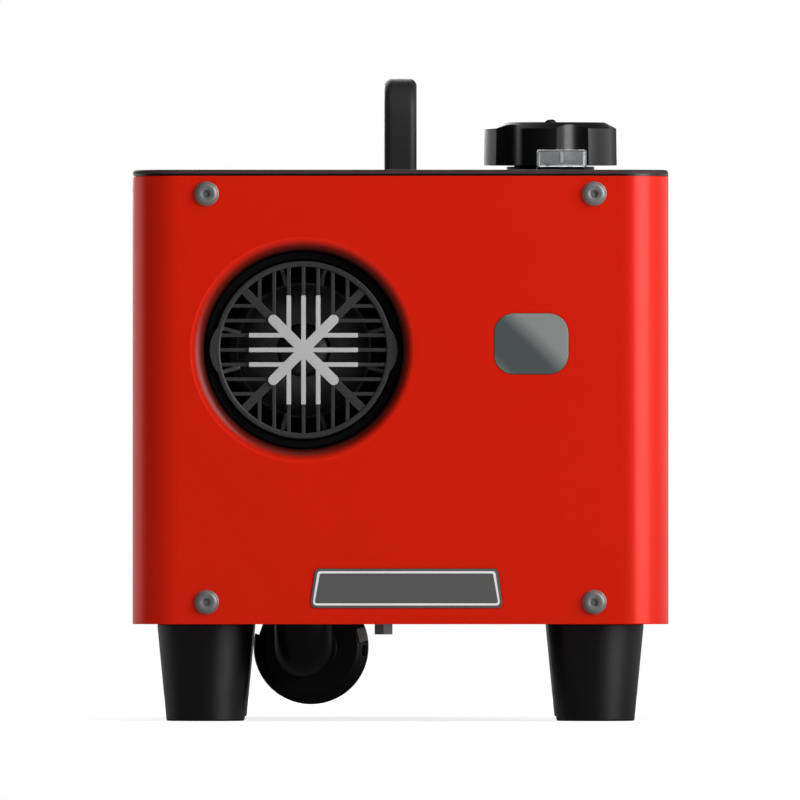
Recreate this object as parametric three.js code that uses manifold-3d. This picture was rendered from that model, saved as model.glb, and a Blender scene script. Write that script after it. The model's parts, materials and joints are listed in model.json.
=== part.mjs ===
// A portable diesel air heater: a red box on four tapered feet, with a hot-air outlet in its
// front, a fuel tank on the right, and a burner and blower unit behind the outlet.
// Millimetres, +X right, +Y back, +Z up. The origin is on the ground under the middle of the box.

import * as THREE from "three";
import { mergeVertices } from "three/addons/utils/BufferGeometryUtils.js";
import Module from "manifold-3d";

const wasm = await Module();
wasm.setup();

// ---------------------------------------------------------------- driving dimensions

// Clearances
const GAP = 0.3; // beside a neighbouring piece
const SEAT = 0.2; // under a piece that rests on another

// Casing
const CASE_W = 300;
const CASE_D = 400;
const CASE_H = 250.8;
const CORNER_R = 22; // outside radius of the upright corners
const PANEL_T = 2.5; // wall of the moulded end panels
const PANEL_WRAP = 30; // how far an end panel runs back along the sides
const SHEET_T = 1.5; // bent steel sheet
const LID_T = 3.1;
const LID_INSET = 0.8; // the lid's edge stands in by this much
const LIP_H = 8; // strips under the lid that locate it
const LIP_T = 1.6;
const TAB_T = 2; // welded tabs that take the panel screws
const TAB_W = 18;

// Feet
const FOOT_H = 54.4;
const FOOT_TOP_R = 27.1;
const FOOT_BOTTOM_R = 21.85;
const FOOT_EDGE = 1.2;
const FOOT_HOLE_R = 7;
const FOOT_ROOF = 12; // rubber above the screw recess
const FOOT_INSET_X = 40.7; // foot axis from the side
const FOOT_INSET_Y = 55; // foot axis from the front or the back

// Panel screws, M6 button heads with a flange
const SCREW_R = 3;
const SCREW_HEAD_R = 6.8;
const SCREW_HEAD_H = 3.3;
const SOCKET_AF = 4; // hexagon across flats
const SOCKET_DEEP = 2;
const SCREW_PAST = 5; // thread that shows behind its tab
const SCREW_INSET_X = 41.6; // from the side
const SCREW_LOW = 12.4; // from the bottom edge
const SCREW_HIGH = 10.1; // from the top edge of the red walls
const BOSS_R = 6.5;

// Handle
const HANDLE_L = 170;
const HANDLE_W = 18.2;
const HANDLE_RISE = 52;
const HANDLE_T = 15;
const HANDLE_BEND = 20.7; // outside radius
const HANDLE_ROUND = 4.2; // rounding along its edges

// Hot-air outlet, in the front panel
const OUT_INSET = 95.7; // axis from the left side
const OUT_UP = 153.4; // axis above the bottom edge of the box
const MOUTH_R = 55.4;
const MOUTH_FILLET = 7.3;
const THROAT = 14; // depth of the mouth behind the front face
const COLLAR_SET = 11; // collar's face behind the front face
const COLLAR_FLANGE = 3;
const DUCT_T = 2.5;
const RING_R = 49.8;
const RING_T = 3.3;
const RING_D = 10; // depth of the grille's ring
const RING_SET = 7.5; // ring's face behind the front face
const LUG_REACH = 2.8; // finger lugs stand out of the ring by this much
const LUG_R = 20; // radius of a lug's curve
const LUG_T = 2.6;
const BAR_PITCH = 8.2;
const BARS_A_SIDE = 3;
const BAR_W = 2.1;
const BAR_D = 4;
const SPOKE_W = 4.8;
const STAR_REACH = 30.5; // half length of the star's bars
const STAR_BAR_W = 2.9;
const STAR_ARM = 23.8; // centre of an arm's round end from the middle
const STAR_ARM_W = 5.8;
const STAR_T = 1.6;

// Inlay and plate on the front
const INLAY_INSET = 76.9; // from the right side
const INLAY_UP = 156.8;
const INLAY_W = 41.4;
const INLAY_H = 34;
const INLAY_R = 11;
const INLAY_T = 1.2;
const PLATE_X = 3.3;
const PLATE_UP = 20.1;
const PLATE_TOP_W = 102;
const PLATE_BOTTOM_W = 108;
const PLATE_H = 22;
const PLATE_R = 4;
const PLATE_T = 1;
const PLATE_SUNK = 0.6; // depth of its pocket in the panel
const RIM_W = 1.3; // raised line round the plate
const RIM_IN = 1;
const RIM_T = 0.25;

// Air intake grille and power inlet, in the rear panel
const INTAKE_R = 50;
const INTAKE_RIM = 7;
const INTAKE_RIM_T = 2;
const INTAKE_BAR_W = 2.6;
const INTAKE_PITCH = 12;
const INTAKE_BARS_A_SIDE = 3;
const INLET_INSET = 52; // from the right side
const INLET_UP = 45;
const INLET_W = 26;
const INLET_H = 15;
const INLET_RIM = 4;
const INLET_DEEP = 18;
const INLET_WALL = 2.5;
const PIN_R = 1.6;
const PIN_L = 11;
const PIN_PITCH = 12;

// Fuel tank, filler neck and cap
const TANK_SIDE = 9.6; // from the right side of the casing
const TANK_CLEAR = 12.7; // beside the heater's shell
const TANK_END_GAP = 3; // between the tank and the ends of the panel screws
const TANK_HEADROOM = 5; // between the tank and the switch above it
const TANK_R = 14;
const TANK_T = 3;
const FILL_SET = 155; // neck behind the front face
const NECK_BORE = 18;
const NECK_THREAD_R = 21.4;
const NECK_R = 24.75;
const NECK_FLANGE_R = 33;
const NECK_FLANGE_T = 3;
const NECK_SHOW = 2.6; // neck's shoulder above the lid
const NECK_SPIGOT = 8; // neck inside the tank's hole
const CAP_LIFT = 3.3; // cap's skirt above the lid
const CAP_H = 24.2;
const CAP_R = 37.6;
const CAP_GRIP_R = 33.1; // at the bottom of the finger scallops
const CAP_LOBES = 6;
const CAP_TURN = -10; // where the front lobe points, degrees
const CAP_CHAMFER = 6.9;
const CAP_CHAMFER_H = 3.5;
const CAP_ROOF = 4;
const GASKET_T = 2;
const VENT_R = 3.1;
const VENT_H = 1.7;
const VENT_STEM_R = 1.6;
const OUTLET_NIPPLE_IN = 20; // from the tank's rear end
const OUTLET_NIPPLE_UP = 14; // above the tank's floor

// Power switch with a clear cover
const SWITCH_DX = 5.9; // beside the tank's middle
const SWITCH_SET = 60; // behind the front face
const SWITCH_W = 27.8;
const SWITCH_D = 23;
const SWITCH_RIM_T = 1.6;
const SWITCH_BODY_IN = 2.6; // body narrower than the rim on each side
const SWITCH_DEEP = 17;
const SWITCH_WALL = 1.4;
const SWITCH_POCKET = 7;
const ROCKER_ANGLE = 8; // degrees each way
const ROCKER_RISE = 2.4;
const COVER_H = 9.4;
const COVER_T = 1.2;
const BARREL_R = 2;
const BARREL_L = 11;
const TRUNNION_R = 0.8;
const EAR_W = 3;

// Control panel, sunk flush in the lid
const PANEL_INSET = 66; // its middle from the left side
const PANEL_SET = 130; // its middle behind the front face
const PANEL_L = 92;
const PANEL_D = 62;
const PANEL_CORNER = 6;
const PANEL_FLANGE = 5;
const PANEL_FLANGE_T = 2;
const SCREEN_W = 48;
const SCREEN_D = 30;
const SCREEN_T = 1.4;
const SCREEN_Y = 11; // from the panel's middle
const BUTTON_R = 5.5;
const BUTTON_PITCH = 20;
const BUTTON_Y = -19;
const BUTTON_RIM = 1.3;
const BUTTON_RIM_T = 1.2;
const BUTTON_SUNK = 0.3;
const BUTTON_TRAVEL = 0.8;
const TACT_W = 6;
const TACT_H = 3.5;
const BOARD_T = 1.6;
const PILLAR_R = 3;

// Heater unit: shell, heat exchanger, burner and blower on one axis behind the outlet
const CORE_SET = 50; // shell's front end behind the front face
const CORE_REAR = 35; // shell's rear end before the rear face
const SHELL_R = 70;
const SHELL_T = 3;
const PLUG_IN = 6; // outlet duct inside the shell
const EXCHANGER_SET = 22; // from the shell's front end
const EXCHANGER_R = 38;
const EXCHANGER_T = 4;
const FINS = 12;
const FIN_T = 2.6;
const DOME = 14;
const NUB_R = 12;
const NUB_H = 8;
const EXHAUST_DX = 12; // exhaust stub beside the axis
const EXHAUST_BACK = 25; // exhaust stub before the exchanger's rear end
const STUB_R = 12;
const STUB_T = 1.5;
const STUB_PAST = 12; // stubs reach this far below the shell
const INTAKE_DX = -27; // combustion air stub beside the axis
const BURNER_R = 26;
const BURNER_T = 2;
const BURNER_L = 120;
const BURNER_FLANGE_T = 16;
const BURNER_HOLE_R = 11;
const CUP_R = 43;
const CUP_T = 3;
const CUP_L = 30;
const IMPELLER_R = 35;
const IMPELLER_D = 14;
const IMPELLER_BLADES = 8;
const MOTOR_R = 24;
const MOTOR_L = 40;
const MOTOR_PLATE_T = 3;
const SPOKE_T = 5;
const SHAFT_R = 2.5;
const FAN_R = 63;
const FAN_HUB_R = 18;
const FAN_D = 22;
const FAN_BLADES = 7;
const FAN_PITCH = 32; // blade angle, degrees
const FAN_GAP = 4; // between the motor and the fan
const FAN_REAR = 8.6; // fan's rear before the shell's rear end
const GLOW_R = 4;
const GLOW_DX = 8;
const UNIT_W = 60; // control unit above the motor
const UNIT_L = 36;
const UNIT_H = 20;
const BOLT_DX = 44.8; // legs and their bolts beside the axis
const LEG_T = 10;
const LEG_FRONT = 35; // from the shell's front end
const LEG_REAR = 62; // from the shell's rear end
const BOLT_R = 3;
const BOLT_AF = 10;
const BOLT_HEAD_H = 6;
const BOLT_IN = 24;
const NIPPLE_DX = -45; // fuel nipple beside the axis
const NIPPLE_SET = 180; // behind the shell's front end
const NIPPLE_R = 4;
const NIPPLE_L = 14;

// Combustion air silencer under the floor, and the duct that leads up from it
const SILENCER_DX = 4.1; // beside the outlet's axis
const SILENCER_Z = 41.3;
const SILENCER_SET = 82; // canister's front end behind the front face
const SILENCER_L = 80;
const SILENCER_R = 29.6;
const SILENCER_T = 2;
const SILENCER_MOUTH_R = 9;
const COVER_R = 32.3;
const COVER_RIM = 12;
const COVER_FACE_R = 26;
const COVER_FRONT = 6; // cover's face before the canister's end
const COVER_BOSS_R = 14.6;
const COVER_BOSS = 5;
const COVER_SPIGOT = 7; // inside the duct's end
const DUCT_R = 16.2;
const DUCT_WALL = 3.2;
const DUCT_FRONT = 28; // duct's upright before the cover
const DUCT_RUN_Z = 98;
const DUCT_BEND = 20;
const WINDOW_PLAY = 3; // floor window round the canister

// Exhaust pipe and silencer under the floor
const PIPE_WALL = 1.5;
const PIPE_BEND = 30;
const PIPE_PLAY = 3; // floor hole round a pipe
const EXHAUST_Z = 32;
const MUFFLER_R = 20;
const MUFFLER_T = 1.5;
const MUFFLER_L = 90;
const MUFFLER_SET = 50; // from the exhaust stub's axis
const MUFFLER_NECK = 14;
const TAIL_R = 12;
const TAIL_SHORT = 12; // tail's end inside the rear face

// Fuel pump on the left wall, and the fuel lines
const PUMP_INSET = 28; // from the left side
const PUMP_UP = 36; // above the floor
const PUMP_SET = 215; // front end behind the front face
const PUMP_L = 80;
const PUMP_R = 12.5;
const PUMP_NIPPLE_R = 3;
const PUMP_NIPPLE_L = 10;
const CLAMP_W = 22;
const CLAMP_T = 4;
const PLUNGER_R = 5;
const PLUNGER_L = 30;
const PLUNGER_TRAVEL = 3;
const PASSAGE_R = 1.5;
const LINE_R = 2.5;
const LINE_STRAIGHT = 8; // straight run off a nipple
const LINE_LOW = 13; // lowest run above the floor

// Facets round a full turn
const ROUND = 24;
const MEDIUM = 16;
const SMALL = 12;
const TINY = 8;

// ---------------------------------------------------------------- places worked out from them

const xWall = CASE_W / 2;
const yFront = -CASE_D / 2;
const yRear = CASE_D / 2;
const wrapEnd = yFront + PANEL_WRAP;
const ySeam = CASE_D / 2 - PANEL_WRAP - GAP;
const zBase = FOOT_H;
const zFloor = zBase + SHEET_T;
const zRim = zBase + CASE_H;
const zLid = zRim + GAP;
const zTop = zLid + LID_T;
const xInside = xWall - PANEL_T - GAP; // reach of what lies inside the end panels
const screwX = xWall - SCREW_INSET_X;
const outX = OUT_INSET - xWall;
const zOut = zBase + OUT_UP;
const axisXZ = [outX, zOut];
const tankLeft = outX + SHELL_R + TANK_CLEAR;
const tankRight = xWall - TANK_SIDE;
const tankX = (tankLeft + tankRight) / 2;
const tankW = tankRight - tankLeft;
const fillY = yFront + FILL_SET;
const switchX = tankX + SWITCH_DX;
const switchY = yFront + SWITCH_SET;
const panelX = PANEL_INSET - xWall;
const panelY = yFront + PANEL_SET;
const silencerX = outX + SILENCER_DX;
const silencerY = yFront + SILENCER_SET;
const pumpX = PUMP_INSET - xWall;
const pumpY = yFront + PUMP_SET;

// ---------------------------------------------------------------- shaping helpers

/** A box between pairs of coordinates. */
function block([x0, x1], [y0, y1], [z0, z1]) {
  return new THREE.BoxGeometry(x1 - x0, y1 - y0, z1 - z0).translate(
    (x0 + x1) / 2,
    (y0 + y1) / 2,
    (z0 + z1) / 2,
  );
}

/** A cylinder along X, at (y, z). */
function rodX(r, [y, z], [x0, x1], sides = SMALL) {
  const rod = new THREE.CylinderGeometry(r, r, x1 - x0, sides);
  return rod.rotateZ(-Math.PI / 2).translate((x0 + x1) / 2, y, z);
}

/** A cylinder along Y, at (x, z). */
function rodY(r, [x, z], [y0, y1], sides = MEDIUM) {
  return new THREE.CylinderGeometry(r, r, y1 - y0, sides).translate(x, (y0 + y1) / 2, z);
}

/** A cylinder along Z, at (x, y). */
function rodZ(r, [x, y], [z0, z1], sides = MEDIUM) {
  return new THREE.CylinderGeometry(r, r, z1 - z0, sides).rotateX(Math.PI / 2).translate(x, y, (z0 + z1) / 2);
}

/** Points of a circular arc, from angle a0 to a1 in degrees, as [u, v] pairs. */
function arc([u, v], r, a0, a1, steps = 4) {
  return Array.from({ length: steps + 1 }, (_, i) => {
    const a = THREE.MathUtils.degToRad(a0 + ((a1 - a0) * i) / steps);
    return [u + r * Math.cos(a), v + r * Math.sin(a)];
  });
}

/** A turned solid about +Y from [radius, height] pairs. Its profile closes on itself or on the axis. */
function turned(profile, sides) {
  const points = profile.map(([r, h]) => new THREE.Vector2(Math.max(r, 0), h));
  if (THREE.ShapeUtils.area(points) < 0) points.reverse();
  if (profile.every(([r]) => r > 0)) points.push(points[0].clone());
  return new THREE.LatheGeometry(points, sides);
}

/** A turned solid about an axis along Y, at (x, z). */
function turnedY(profile, [x, z], sides = ROUND) {
  return turned(profile, sides).translate(x, 0, z);
}

/** A turned solid about an axis along Z, at (x, y). */
function turnedZ(profile, [x, y], sides = ROUND) {
  return turned(profile, sides).rotateX(Math.PI / 2).translate(x, y, 0);
}

/** A tube along Y between two radii. */
function tubeY(rIn, rOut, at, [y0, y1], sides = ROUND) {
  return turnedY([[rIn, y0], [rOut, y0], [rOut, y1], [rIn, y1]], at, sides);
}

/** A flat shape drawn in (x, y), between two heights. */
function slab(shape, [z0, z1], curveSegments = 3) {
  const options = { depth: z1 - z0, bevelEnabled: false, curveSegments };
  return new THREE.ExtrudeGeometry(shape, options).translate(0, 0, z0);
}

/** A flat shape drawn in (x, z), between two depths. */
function plateY(shape, [y0, y1], curveSegments = 3) {
  const options = { depth: y1 - y0, bevelEnabled: false, curveSegments };
  return new THREE.ExtrudeGeometry(shape, options).rotateX(Math.PI / 2).translate(0, y1, 0);
}

/** A rectangle with round corners, given by its middle, width, height and radius. */
function roundedRect([u, v], w, h, r) {
  const s = new THREE.Shape();
  s.absarc(u + w / 2 - r, v - h / 2 + r, r, -Math.PI / 2, 0, false);
  s.absarc(u + w / 2 - r, v + h / 2 - r, r, 0, Math.PI / 2, false);
  s.absarc(u - w / 2 + r, v + h / 2 - r, r, Math.PI / 2, Math.PI, false);
  s.absarc(u - w / 2 + r, v - h / 2 + r, r, Math.PI, 1.5 * Math.PI, false);
  s.closePath();
  return s;
}

/** The closed body of a geometry, for joining and cutting. */
function solid(geometry) {
  const bare = geometry.index ? geometry.toNonIndexed() : geometry.clone();
  bare.deleteAttribute("normal");
  bare.deleteAttribute("uv");
  const merged = mergeVertices(bare, 1e-4);
  const index = merged.index.array;
  const faces = [];
  for (let i = 0; i < index.length; i += 3) {
    const [a, b, c] = index.slice(i, i + 3);
    if (a !== b && b !== c && c !== a) faces.push(a, b, c);
  }
  const vertProperties = merged.attributes.position.array;
  const triVerts = new Uint32Array(faces);
  return new wasm.Manifold(new wasm.Mesh({ numProp: 3, vertProperties, triVerts }));
}

/** The geometry of a closed body. */
function shell(body) {
  const mesh = body.getMesh();
  const geometry = new THREE.BufferGeometry();
  geometry.setAttribute("position", new THREE.BufferAttribute(mesh.vertProperties, 3));
  geometry.setIndex(new THREE.BufferAttribute(mesh.triVerts, 1));
  geometry.computeVertexNormals();
  return geometry;
}

/** One body from several that touch or overlap. */
function join(...geometries) {
  return shell(geometries.map(solid).reduce((all, next) => all.add(next)));
}

/** The first geometry with the others taken out of it. */
function cut(first, ...others) {
  return shell(others.map(solid).reduce((rest, tool) => rest.subtract(tool), solid(first)));
}

/** What two geometries have in common. */
function common(a, b) {
  return shell(solid(a).intersect(solid(b)));
}

/** A line through stations; a tube along it has one ring at each of them. */
class Stations extends THREE.Curve {
  constructor(points) {
    super();
    this.points = points;
  }

  index(u) {
    return Math.round(u * (this.points.length - 1));
  }

  getPointAt(u) {
    return this.points[this.index(u)];
  }

  getTangentAt(u) {
    const i = this.index(u);
    const here = this.points[i];
    const before = this.points[Math.max(i - 1, 0)];
    const after = this.points[Math.min(i + 1, this.points.length - 1)];
    const arriving = here.clone().sub(before).normalize();
    return after.clone().sub(here).normalize().add(arriving).normalize();
  }
}

/** A tube of round section through stations; with rIn it is hollow. */
function tubeAlong(points, rOut, rIn, sides) {
  const ring = (r) => Array.from({ length: sides }, (_, i) => {
    const a = (2 * Math.PI * i) / sides;
    return new THREE.Vector2(r * Math.cos(a), r * Math.sin(a));
  });
  const section = new THREE.Shape(ring(rOut));
  if (rIn > 0) section.holes.push(new THREE.Path(ring(rIn)));
  return new THREE.ExtrudeGeometry(section, { steps: points.length - 1, extrudePath: new Stations(points) });
}

/** Stations of a run through points, with each inner corner rounded over the same length. */
function bentPath(points, radius) {
  const stations = [points[0]];
  points.slice(1, -1).forEach((corner, i) => {
    const before = corner.clone().add(points[i].clone().sub(corner).setLength(radius));
    const after = corner.clone().add(points[i + 2].clone().sub(corner).setLength(radius));
    stations.push(...new THREE.QuadraticBezierCurve3(before, corner, after).getPoints(3));
  });
  return [...stations, points.at(-1)];
}

const vector = (x, y, z) => new THREE.Vector3(x, y, z);

/** Distance from the axis to the flats of a round face that was drawn at radius r. */
const flat = (r, sides = ROUND) => r * Math.cos(Math.PI / sides);

/** Radius to draw a round face at, so that its flats lie at distance r from the axis. */
const around = (r, sides) => r / Math.cos(Math.PI / sides);

// ---------------------------------------------------------------- materials

function finish(color, roughness, metalness) {
  return new THREE.MeshStandardMaterial({ color, roughness, metalness });
}

const redPaint = finish(0xc81e05, 0.3, 0.0);
const blackPaint = finish(0x1b1718, 0.45, 0.1);
const blackPlastic = finish(0x141414, 0.4, 0.0);
const greyPlastic = finish(0x3a3f3c, 0.5, 0.0);
const lightPlastic = finish(0xb6b6b6, 0.5, 0.0);
const darkPlate = finish(0x4c4e4c, 0.5, 0.0);
const inlayFilm = finish(0x5c6463, 0.15, 0.6);
const screwSteel = finish(0x5d6163, 0.4, 0.8);
const zincSteel = finish(0x5a5e66, 0.4, 0.8);
const stainless = finish(0xa9a9a6, 0.35, 0.9);
const castAluminium = finish(0x9a9c9c, 0.45, 0.9);
const rubber = finish(0x151515, 0.8, 0.0);
const tankPlastic = finish(0xd9d6cc, 0.5, 0.0);
const clearPlastic = finish(0xd8dcdc, 0.1, 0.0);
const screenGlass = finish(0x10181c, 0.08, 0.0);
const boardGreen = finish(0x1c5a34, 0.6, 0.0);
const fuelLine = finish(0xcfd8b8, 0.5, 0.0);

const heater = new THREE.Group();

/** Adds one named piece to the heater. */
function piece(name, geometry, material) {
  const mesh = new THREE.Mesh(geometry, material);
  mesh.name = name;
  heater.add(mesh);
}

// ---------------------------------------------------------------- casing

/** Heights of the low and high panel screws. */
const screwRows = [zBase + SCREW_LOW, zRim - SCREW_HIGH];
const screwSpots = screwRows.flatMap((z) => [-screwX, screwX].map((x) => [x, z]));

/** Plan of an end panel at the front: a wall with two round corners and short returns. */
function panelPlan() {
  const outer = CORNER_R;
  const inner = CORNER_R - PANEL_T;
  const yc = yFront + CORNER_R;
  const s = new THREE.Shape();
  s.moveTo(-xWall, wrapEnd);
  s.absarc(-xWall + outer, yc, outer, Math.PI, 1.5 * Math.PI, false);
  s.absarc(xWall - outer, yc, outer, 1.5 * Math.PI, 2 * Math.PI, false);
  s.lineTo(xWall, wrapEnd);
  s.lineTo(xWall - PANEL_T, wrapEnd);
  s.absarc(xWall - outer, yc, inner, 2 * Math.PI, 1.5 * Math.PI, true);
  s.absarc(-xWall + outer, yc, inner, 1.5 * Math.PI, Math.PI, true);
  s.lineTo(-xWall + PANEL_T, wrapEnd);
  s.closePath();
  return s;
}

/** An end panel, built at the front: plan wall with four screw bosses and their bores. */
function endPanel() {
  const bosses = screwSpots.map((at) => rodY(BOSS_R, at, [yFront + PANEL_T / 2, wrapEnd], SMALL));
  const bores = screwSpots.map((at) => rodY(SCREW_R + GAP, at, [yFront - 1, wrapEnd + 1], TINY));
  return cut(join(slab(panelPlan(), [zBase, zRim], 4), ...bosses), ...bores);
}

/** The rounded mouth that leads from the front face into the throat. */
function mouthLip() {
  const r = MOUTH_R + MOUTH_FILLET;
  const y = yFront + MOUTH_FILLET;
  return turnedY(
    [
      [r + PANEL_T, yFront],
      ...arc([r, y], MOUTH_FILLET, 270, 180),
      [MOUTH_R, yFront + THROAT],
      [MOUTH_R + PANEL_T, yFront + THROAT],
      ...arc([r, y], MOUTH_FILLET - PANEL_T, 180, 270),
      [r + PANEL_T, yFront + PANEL_T],
    ],
    axisXZ,
  );
}

/** The inlay's outline, grown by a margin. */
function inlayOutline(margin) {
  const at = [xWall - INLAY_INSET, zBase + INLAY_UP];
  return roundedRect(at, INLAY_W + 2 * margin, INLAY_H + 2 * margin, INLAY_R + margin);
}

/** The front plate's outline, a trapezium with round corners, drawn in or out by a margin. */
function plateOutline(margin) {
  const at = [PLATE_X, zBase + PLATE_UP];
  const h = PLATE_H / 2 + margin;
  const top = PLATE_TOP_W / 2 + margin;
  const bottom = PLATE_BOTTOM_W / 2 + margin;
  const r = Math.max(PLATE_R + margin, 1);
  const corners = [[-bottom, -h], [bottom, -h], [top, h], [-top, h]].map(
    ([u, v]) => new THREE.Vector2(at[0] + u, at[1] + v),
  );
  const s = new THREE.Shape();
  corners.forEach((corner, i) => {
    const before = corners[(i + 3) % 4].clone().sub(corner).setLength(r).add(corner);
    const after = corners[(i + 1) % 4].clone().sub(corner).setLength(r).add(corner);
    if (i === 0) s.moveTo(before.x, before.y);
    else s.lineTo(before.x, before.y);
    s.quadraticCurveTo(corner.x, corner.y, after.x, after.y);
  });
  s.closePath();
  return s;
}

function buildFrontPanel() {
  const hole = rodY(MOUTH_R + MOUTH_FILLET, axisXZ, [yFront - 1, yFront + PANEL_T + 1], ROUND);
  const inlayPocket = plateY(inlayOutline(GAP), [yFront - 1, yFront + INLAY_T]);
  const platePocket = plateY(plateOutline(GAP), [yFront - 1, yFront + PLATE_SUNK]);
  const walls = cut(endPanel(), hole, inlayPocket, platePocket);
  piece("front_panel", join(walls, mouthLip()), redPaint);
  piece("front_inlay", plateY(inlayOutline(0), [yFront, yFront + INLAY_T - SEAT]), inlayFilm);
  const raised = [yFront + PLATE_SUNK - SEAT - PLATE_T, yFront + PLATE_SUNK - SEAT - PLATE_T / 2];
  const line = cut(
    plateY(plateOutline(-RIM_IN), [raised[0] - RIM_T, raised[1]]),
    plateY(plateOutline(-RIM_IN - RIM_W), [raised[0] - RIM_T - 1, raised[1] + 1]),
  );
  const plate = plateY(plateOutline(0), [raised[0], yFront + PLATE_SUNK - SEAT]);
  piece("front_plate", join(plate, line), darkPlate);
}

/** Where the rear panel's inlet and intake lie once the panel is turned to the back. */
const inletAt = [xWall - INLET_INSET, zBase + INLET_UP];

function buildRearPanel() {
  const panel = endPanel().rotateZ(Math.PI);
  const intake = rodY(INTAKE_R + GAP, axisXZ, [yRear - PANEL_T - 1, yRear + 1], ROUND);
  const inletHole = plateY(roundedRect(inletAt, INLET_W + 2 * GAP, INLET_H + 2 * GAP, 2), [
    yRear - PANEL_T - 1,
    yRear + 1,
  ]);
  piece("rear_panel", cut(panel, intake, inletHole), redPaint);
}

/** A welded tab for each panel screw: low ones stand on the floor, high ones reach in from a side. */
function screwTabs(sign) {
  const y = [sign * ySeam, sign * (ySeam - TAB_T)].sort((a, b) => a - b);
  return [-1, 1].flatMap((side) => {
    const x = side * screwX;
    const wall = side * (xWall - SHEET_T / 2);
    const inner = side * (screwX - TAB_W / 2);
    const low = block([x - TAB_W / 2, x + TAB_W / 2], y, [zBase, screwRows[0] + TAB_W / 2]);
    const span = [inner, wall].sort((a, b) => a - b);
    return [low, block(span, y, [screwRows[1] - TAB_W / 2, screwRows[1] + TAB_W / 2 - 1])];
  });
}

/** Floor and both side walls, bent from one sheet, with windows for the pipes. */
function buildCasingWrap() {
  const depth = CASE_D - 2 * (PANEL_T + GAP);
  const plan = roundedRect([0, 0], 2 * xInside, depth, CORNER_R - PANEL_T - GAP);
  const walls = [-1, 1].map((side) => {
    const x = [side * xWall, side * (xWall - SHEET_T)].sort((a, b) => a - b);
    return block(x, [-ySeam, ySeam], [zBase, zRim]);
  });
  const sheet = join(
    slab(plan, [zBase, zFloor], 4),
    block([-xWall, xWall], [-ySeam, ySeam], [zBase, zFloor]),
    ...walls,
    ...screwTabs(-1),
    ...screwTabs(1),
  );
  const through = [zBase - 1, zFloor + 1];
  const holes = [-1, 1].map((sign) =>
    screwSpots.map((at) => {
      const y = [sign * (ySeam + 1), sign * (ySeam - TAB_T - 1)].sort((a, b) => a - b);
      return rodY(SCREW_R + GAP, at, y, TINY);
    }),
  );
  const windows = [
    block(
      [silencerX - COVER_R - WINDOW_PLAY, silencerX + COVER_R + WINDOW_PLAY],
      [coverFace - DUCT_FRONT - DUCT_R - WINDOW_PLAY, silencerY + SILENCER_L + WINDOW_PLAY],
      through,
    ),
    rodZ(PIPE_R + PIPE_PLAY, exhaustXY, through),
    ...boltSpots.map((at) => rodZ(BOLT_R + GAP, at, through, TINY)),
  ];
  piece("casing_wrap", cut(sheet, ...holes.flat(), ...windows), redPaint);
}

/** A panel screw along Y at the front: flanged button head, hexagon socket, shank. */
function panelScrew([x, z]) {
  const yHead = yFront - SEAT;
  const head = turnedY(
    [
      [0, yHead - SCREW_HEAD_H],
      [SCREW_HEAD_R * 0.6, yHead - SCREW_HEAD_H],
      [SCREW_HEAD_R * 0.86, yHead - SCREW_HEAD_H * 0.5],
      [SCREW_HEAD_R, yHead - SCREW_HEAD_H * 0.3],
      [SCREW_HEAD_R, yHead],
      [0, yHead],
    ],
    [x, z],
    SMALL,
  );
  const shank = rodY(SCREW_R, [x, z], [yHead - SCREW_HEAD_H / 4, -ySeam + TAB_T + SCREW_PAST], TINY);
  const hexR = SOCKET_AF / Math.sqrt(3);
  const socket = new THREE.CylinderGeometry(hexR, hexR, 2 * SOCKET_DEEP, 6);
  return cut(join(head, shank), socket.translate(x, yHead - SCREW_HEAD_H, z));
}

function buildScrews() {
  const rows = ["bottom", "bottom", "top", "top"];
  const sides = ["left", "right", "left", "right"];
  screwSpots.forEach((at, i) => {
    piece(`front_screw_${rows[i]}_${sides[i]}`, panelScrew(at), screwSteel);
    piece(`rear_screw_${rows[i]}_${sides[i]}`, panelScrew([-at[0], at[1]]).rotateZ(Math.PI), screwSteel);
  });
}

function buildFeet() {
  const profile = [
    [0, zBase - FOOT_ROOF],
    [FOOT_HOLE_R, zBase - FOOT_ROOF],
    [FOOT_HOLE_R, 0],
    [FOOT_BOTTOM_R - FOOT_EDGE, 0],
    [FOOT_BOTTOM_R, FOOT_EDGE],
    [FOOT_TOP_R, zBase - SEAT],
    [0, zBase - SEAT],
  ];
  for (const [end, y] of [["front", -1], ["rear", 1]]) {
    for (const [side, x] of [["left", -1], ["right", 1]]) {
      const at = [x * (xWall - FOOT_INSET_X), y * (CASE_D / 2 - FOOT_INSET_Y)];
      piece(`foot_${end}_${side}`, turnedZ(profile, at, MEDIUM), rubber);
    }
  }
}

// ---------------------------------------------------------------- lid and handle

/** Strips under the lid that drop inside the walls. */
function lidLips() {
  const z = [zRim - LIP_H, zLid + LID_T / 2];
  const yEnd = CASE_D / 2 - PANEL_T - GAP;
  const xEnd = screwX - BOSS_R - 2;
  const xSide = xWall - SHEET_T - GAP;
  const ySide = ySeam - TAB_T - GAP - 2;
  return [-1, 1].flatMap((s) => [
    block([-xEnd, xEnd], [s * yEnd, s * (yEnd - LIP_T)].sort((a, b) => a - b), z),
    block([s * xSide, s * (xSide - LIP_T)].sort((a, b) => a - b), [-ySide, ySide], z),
  ]);
}

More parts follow.
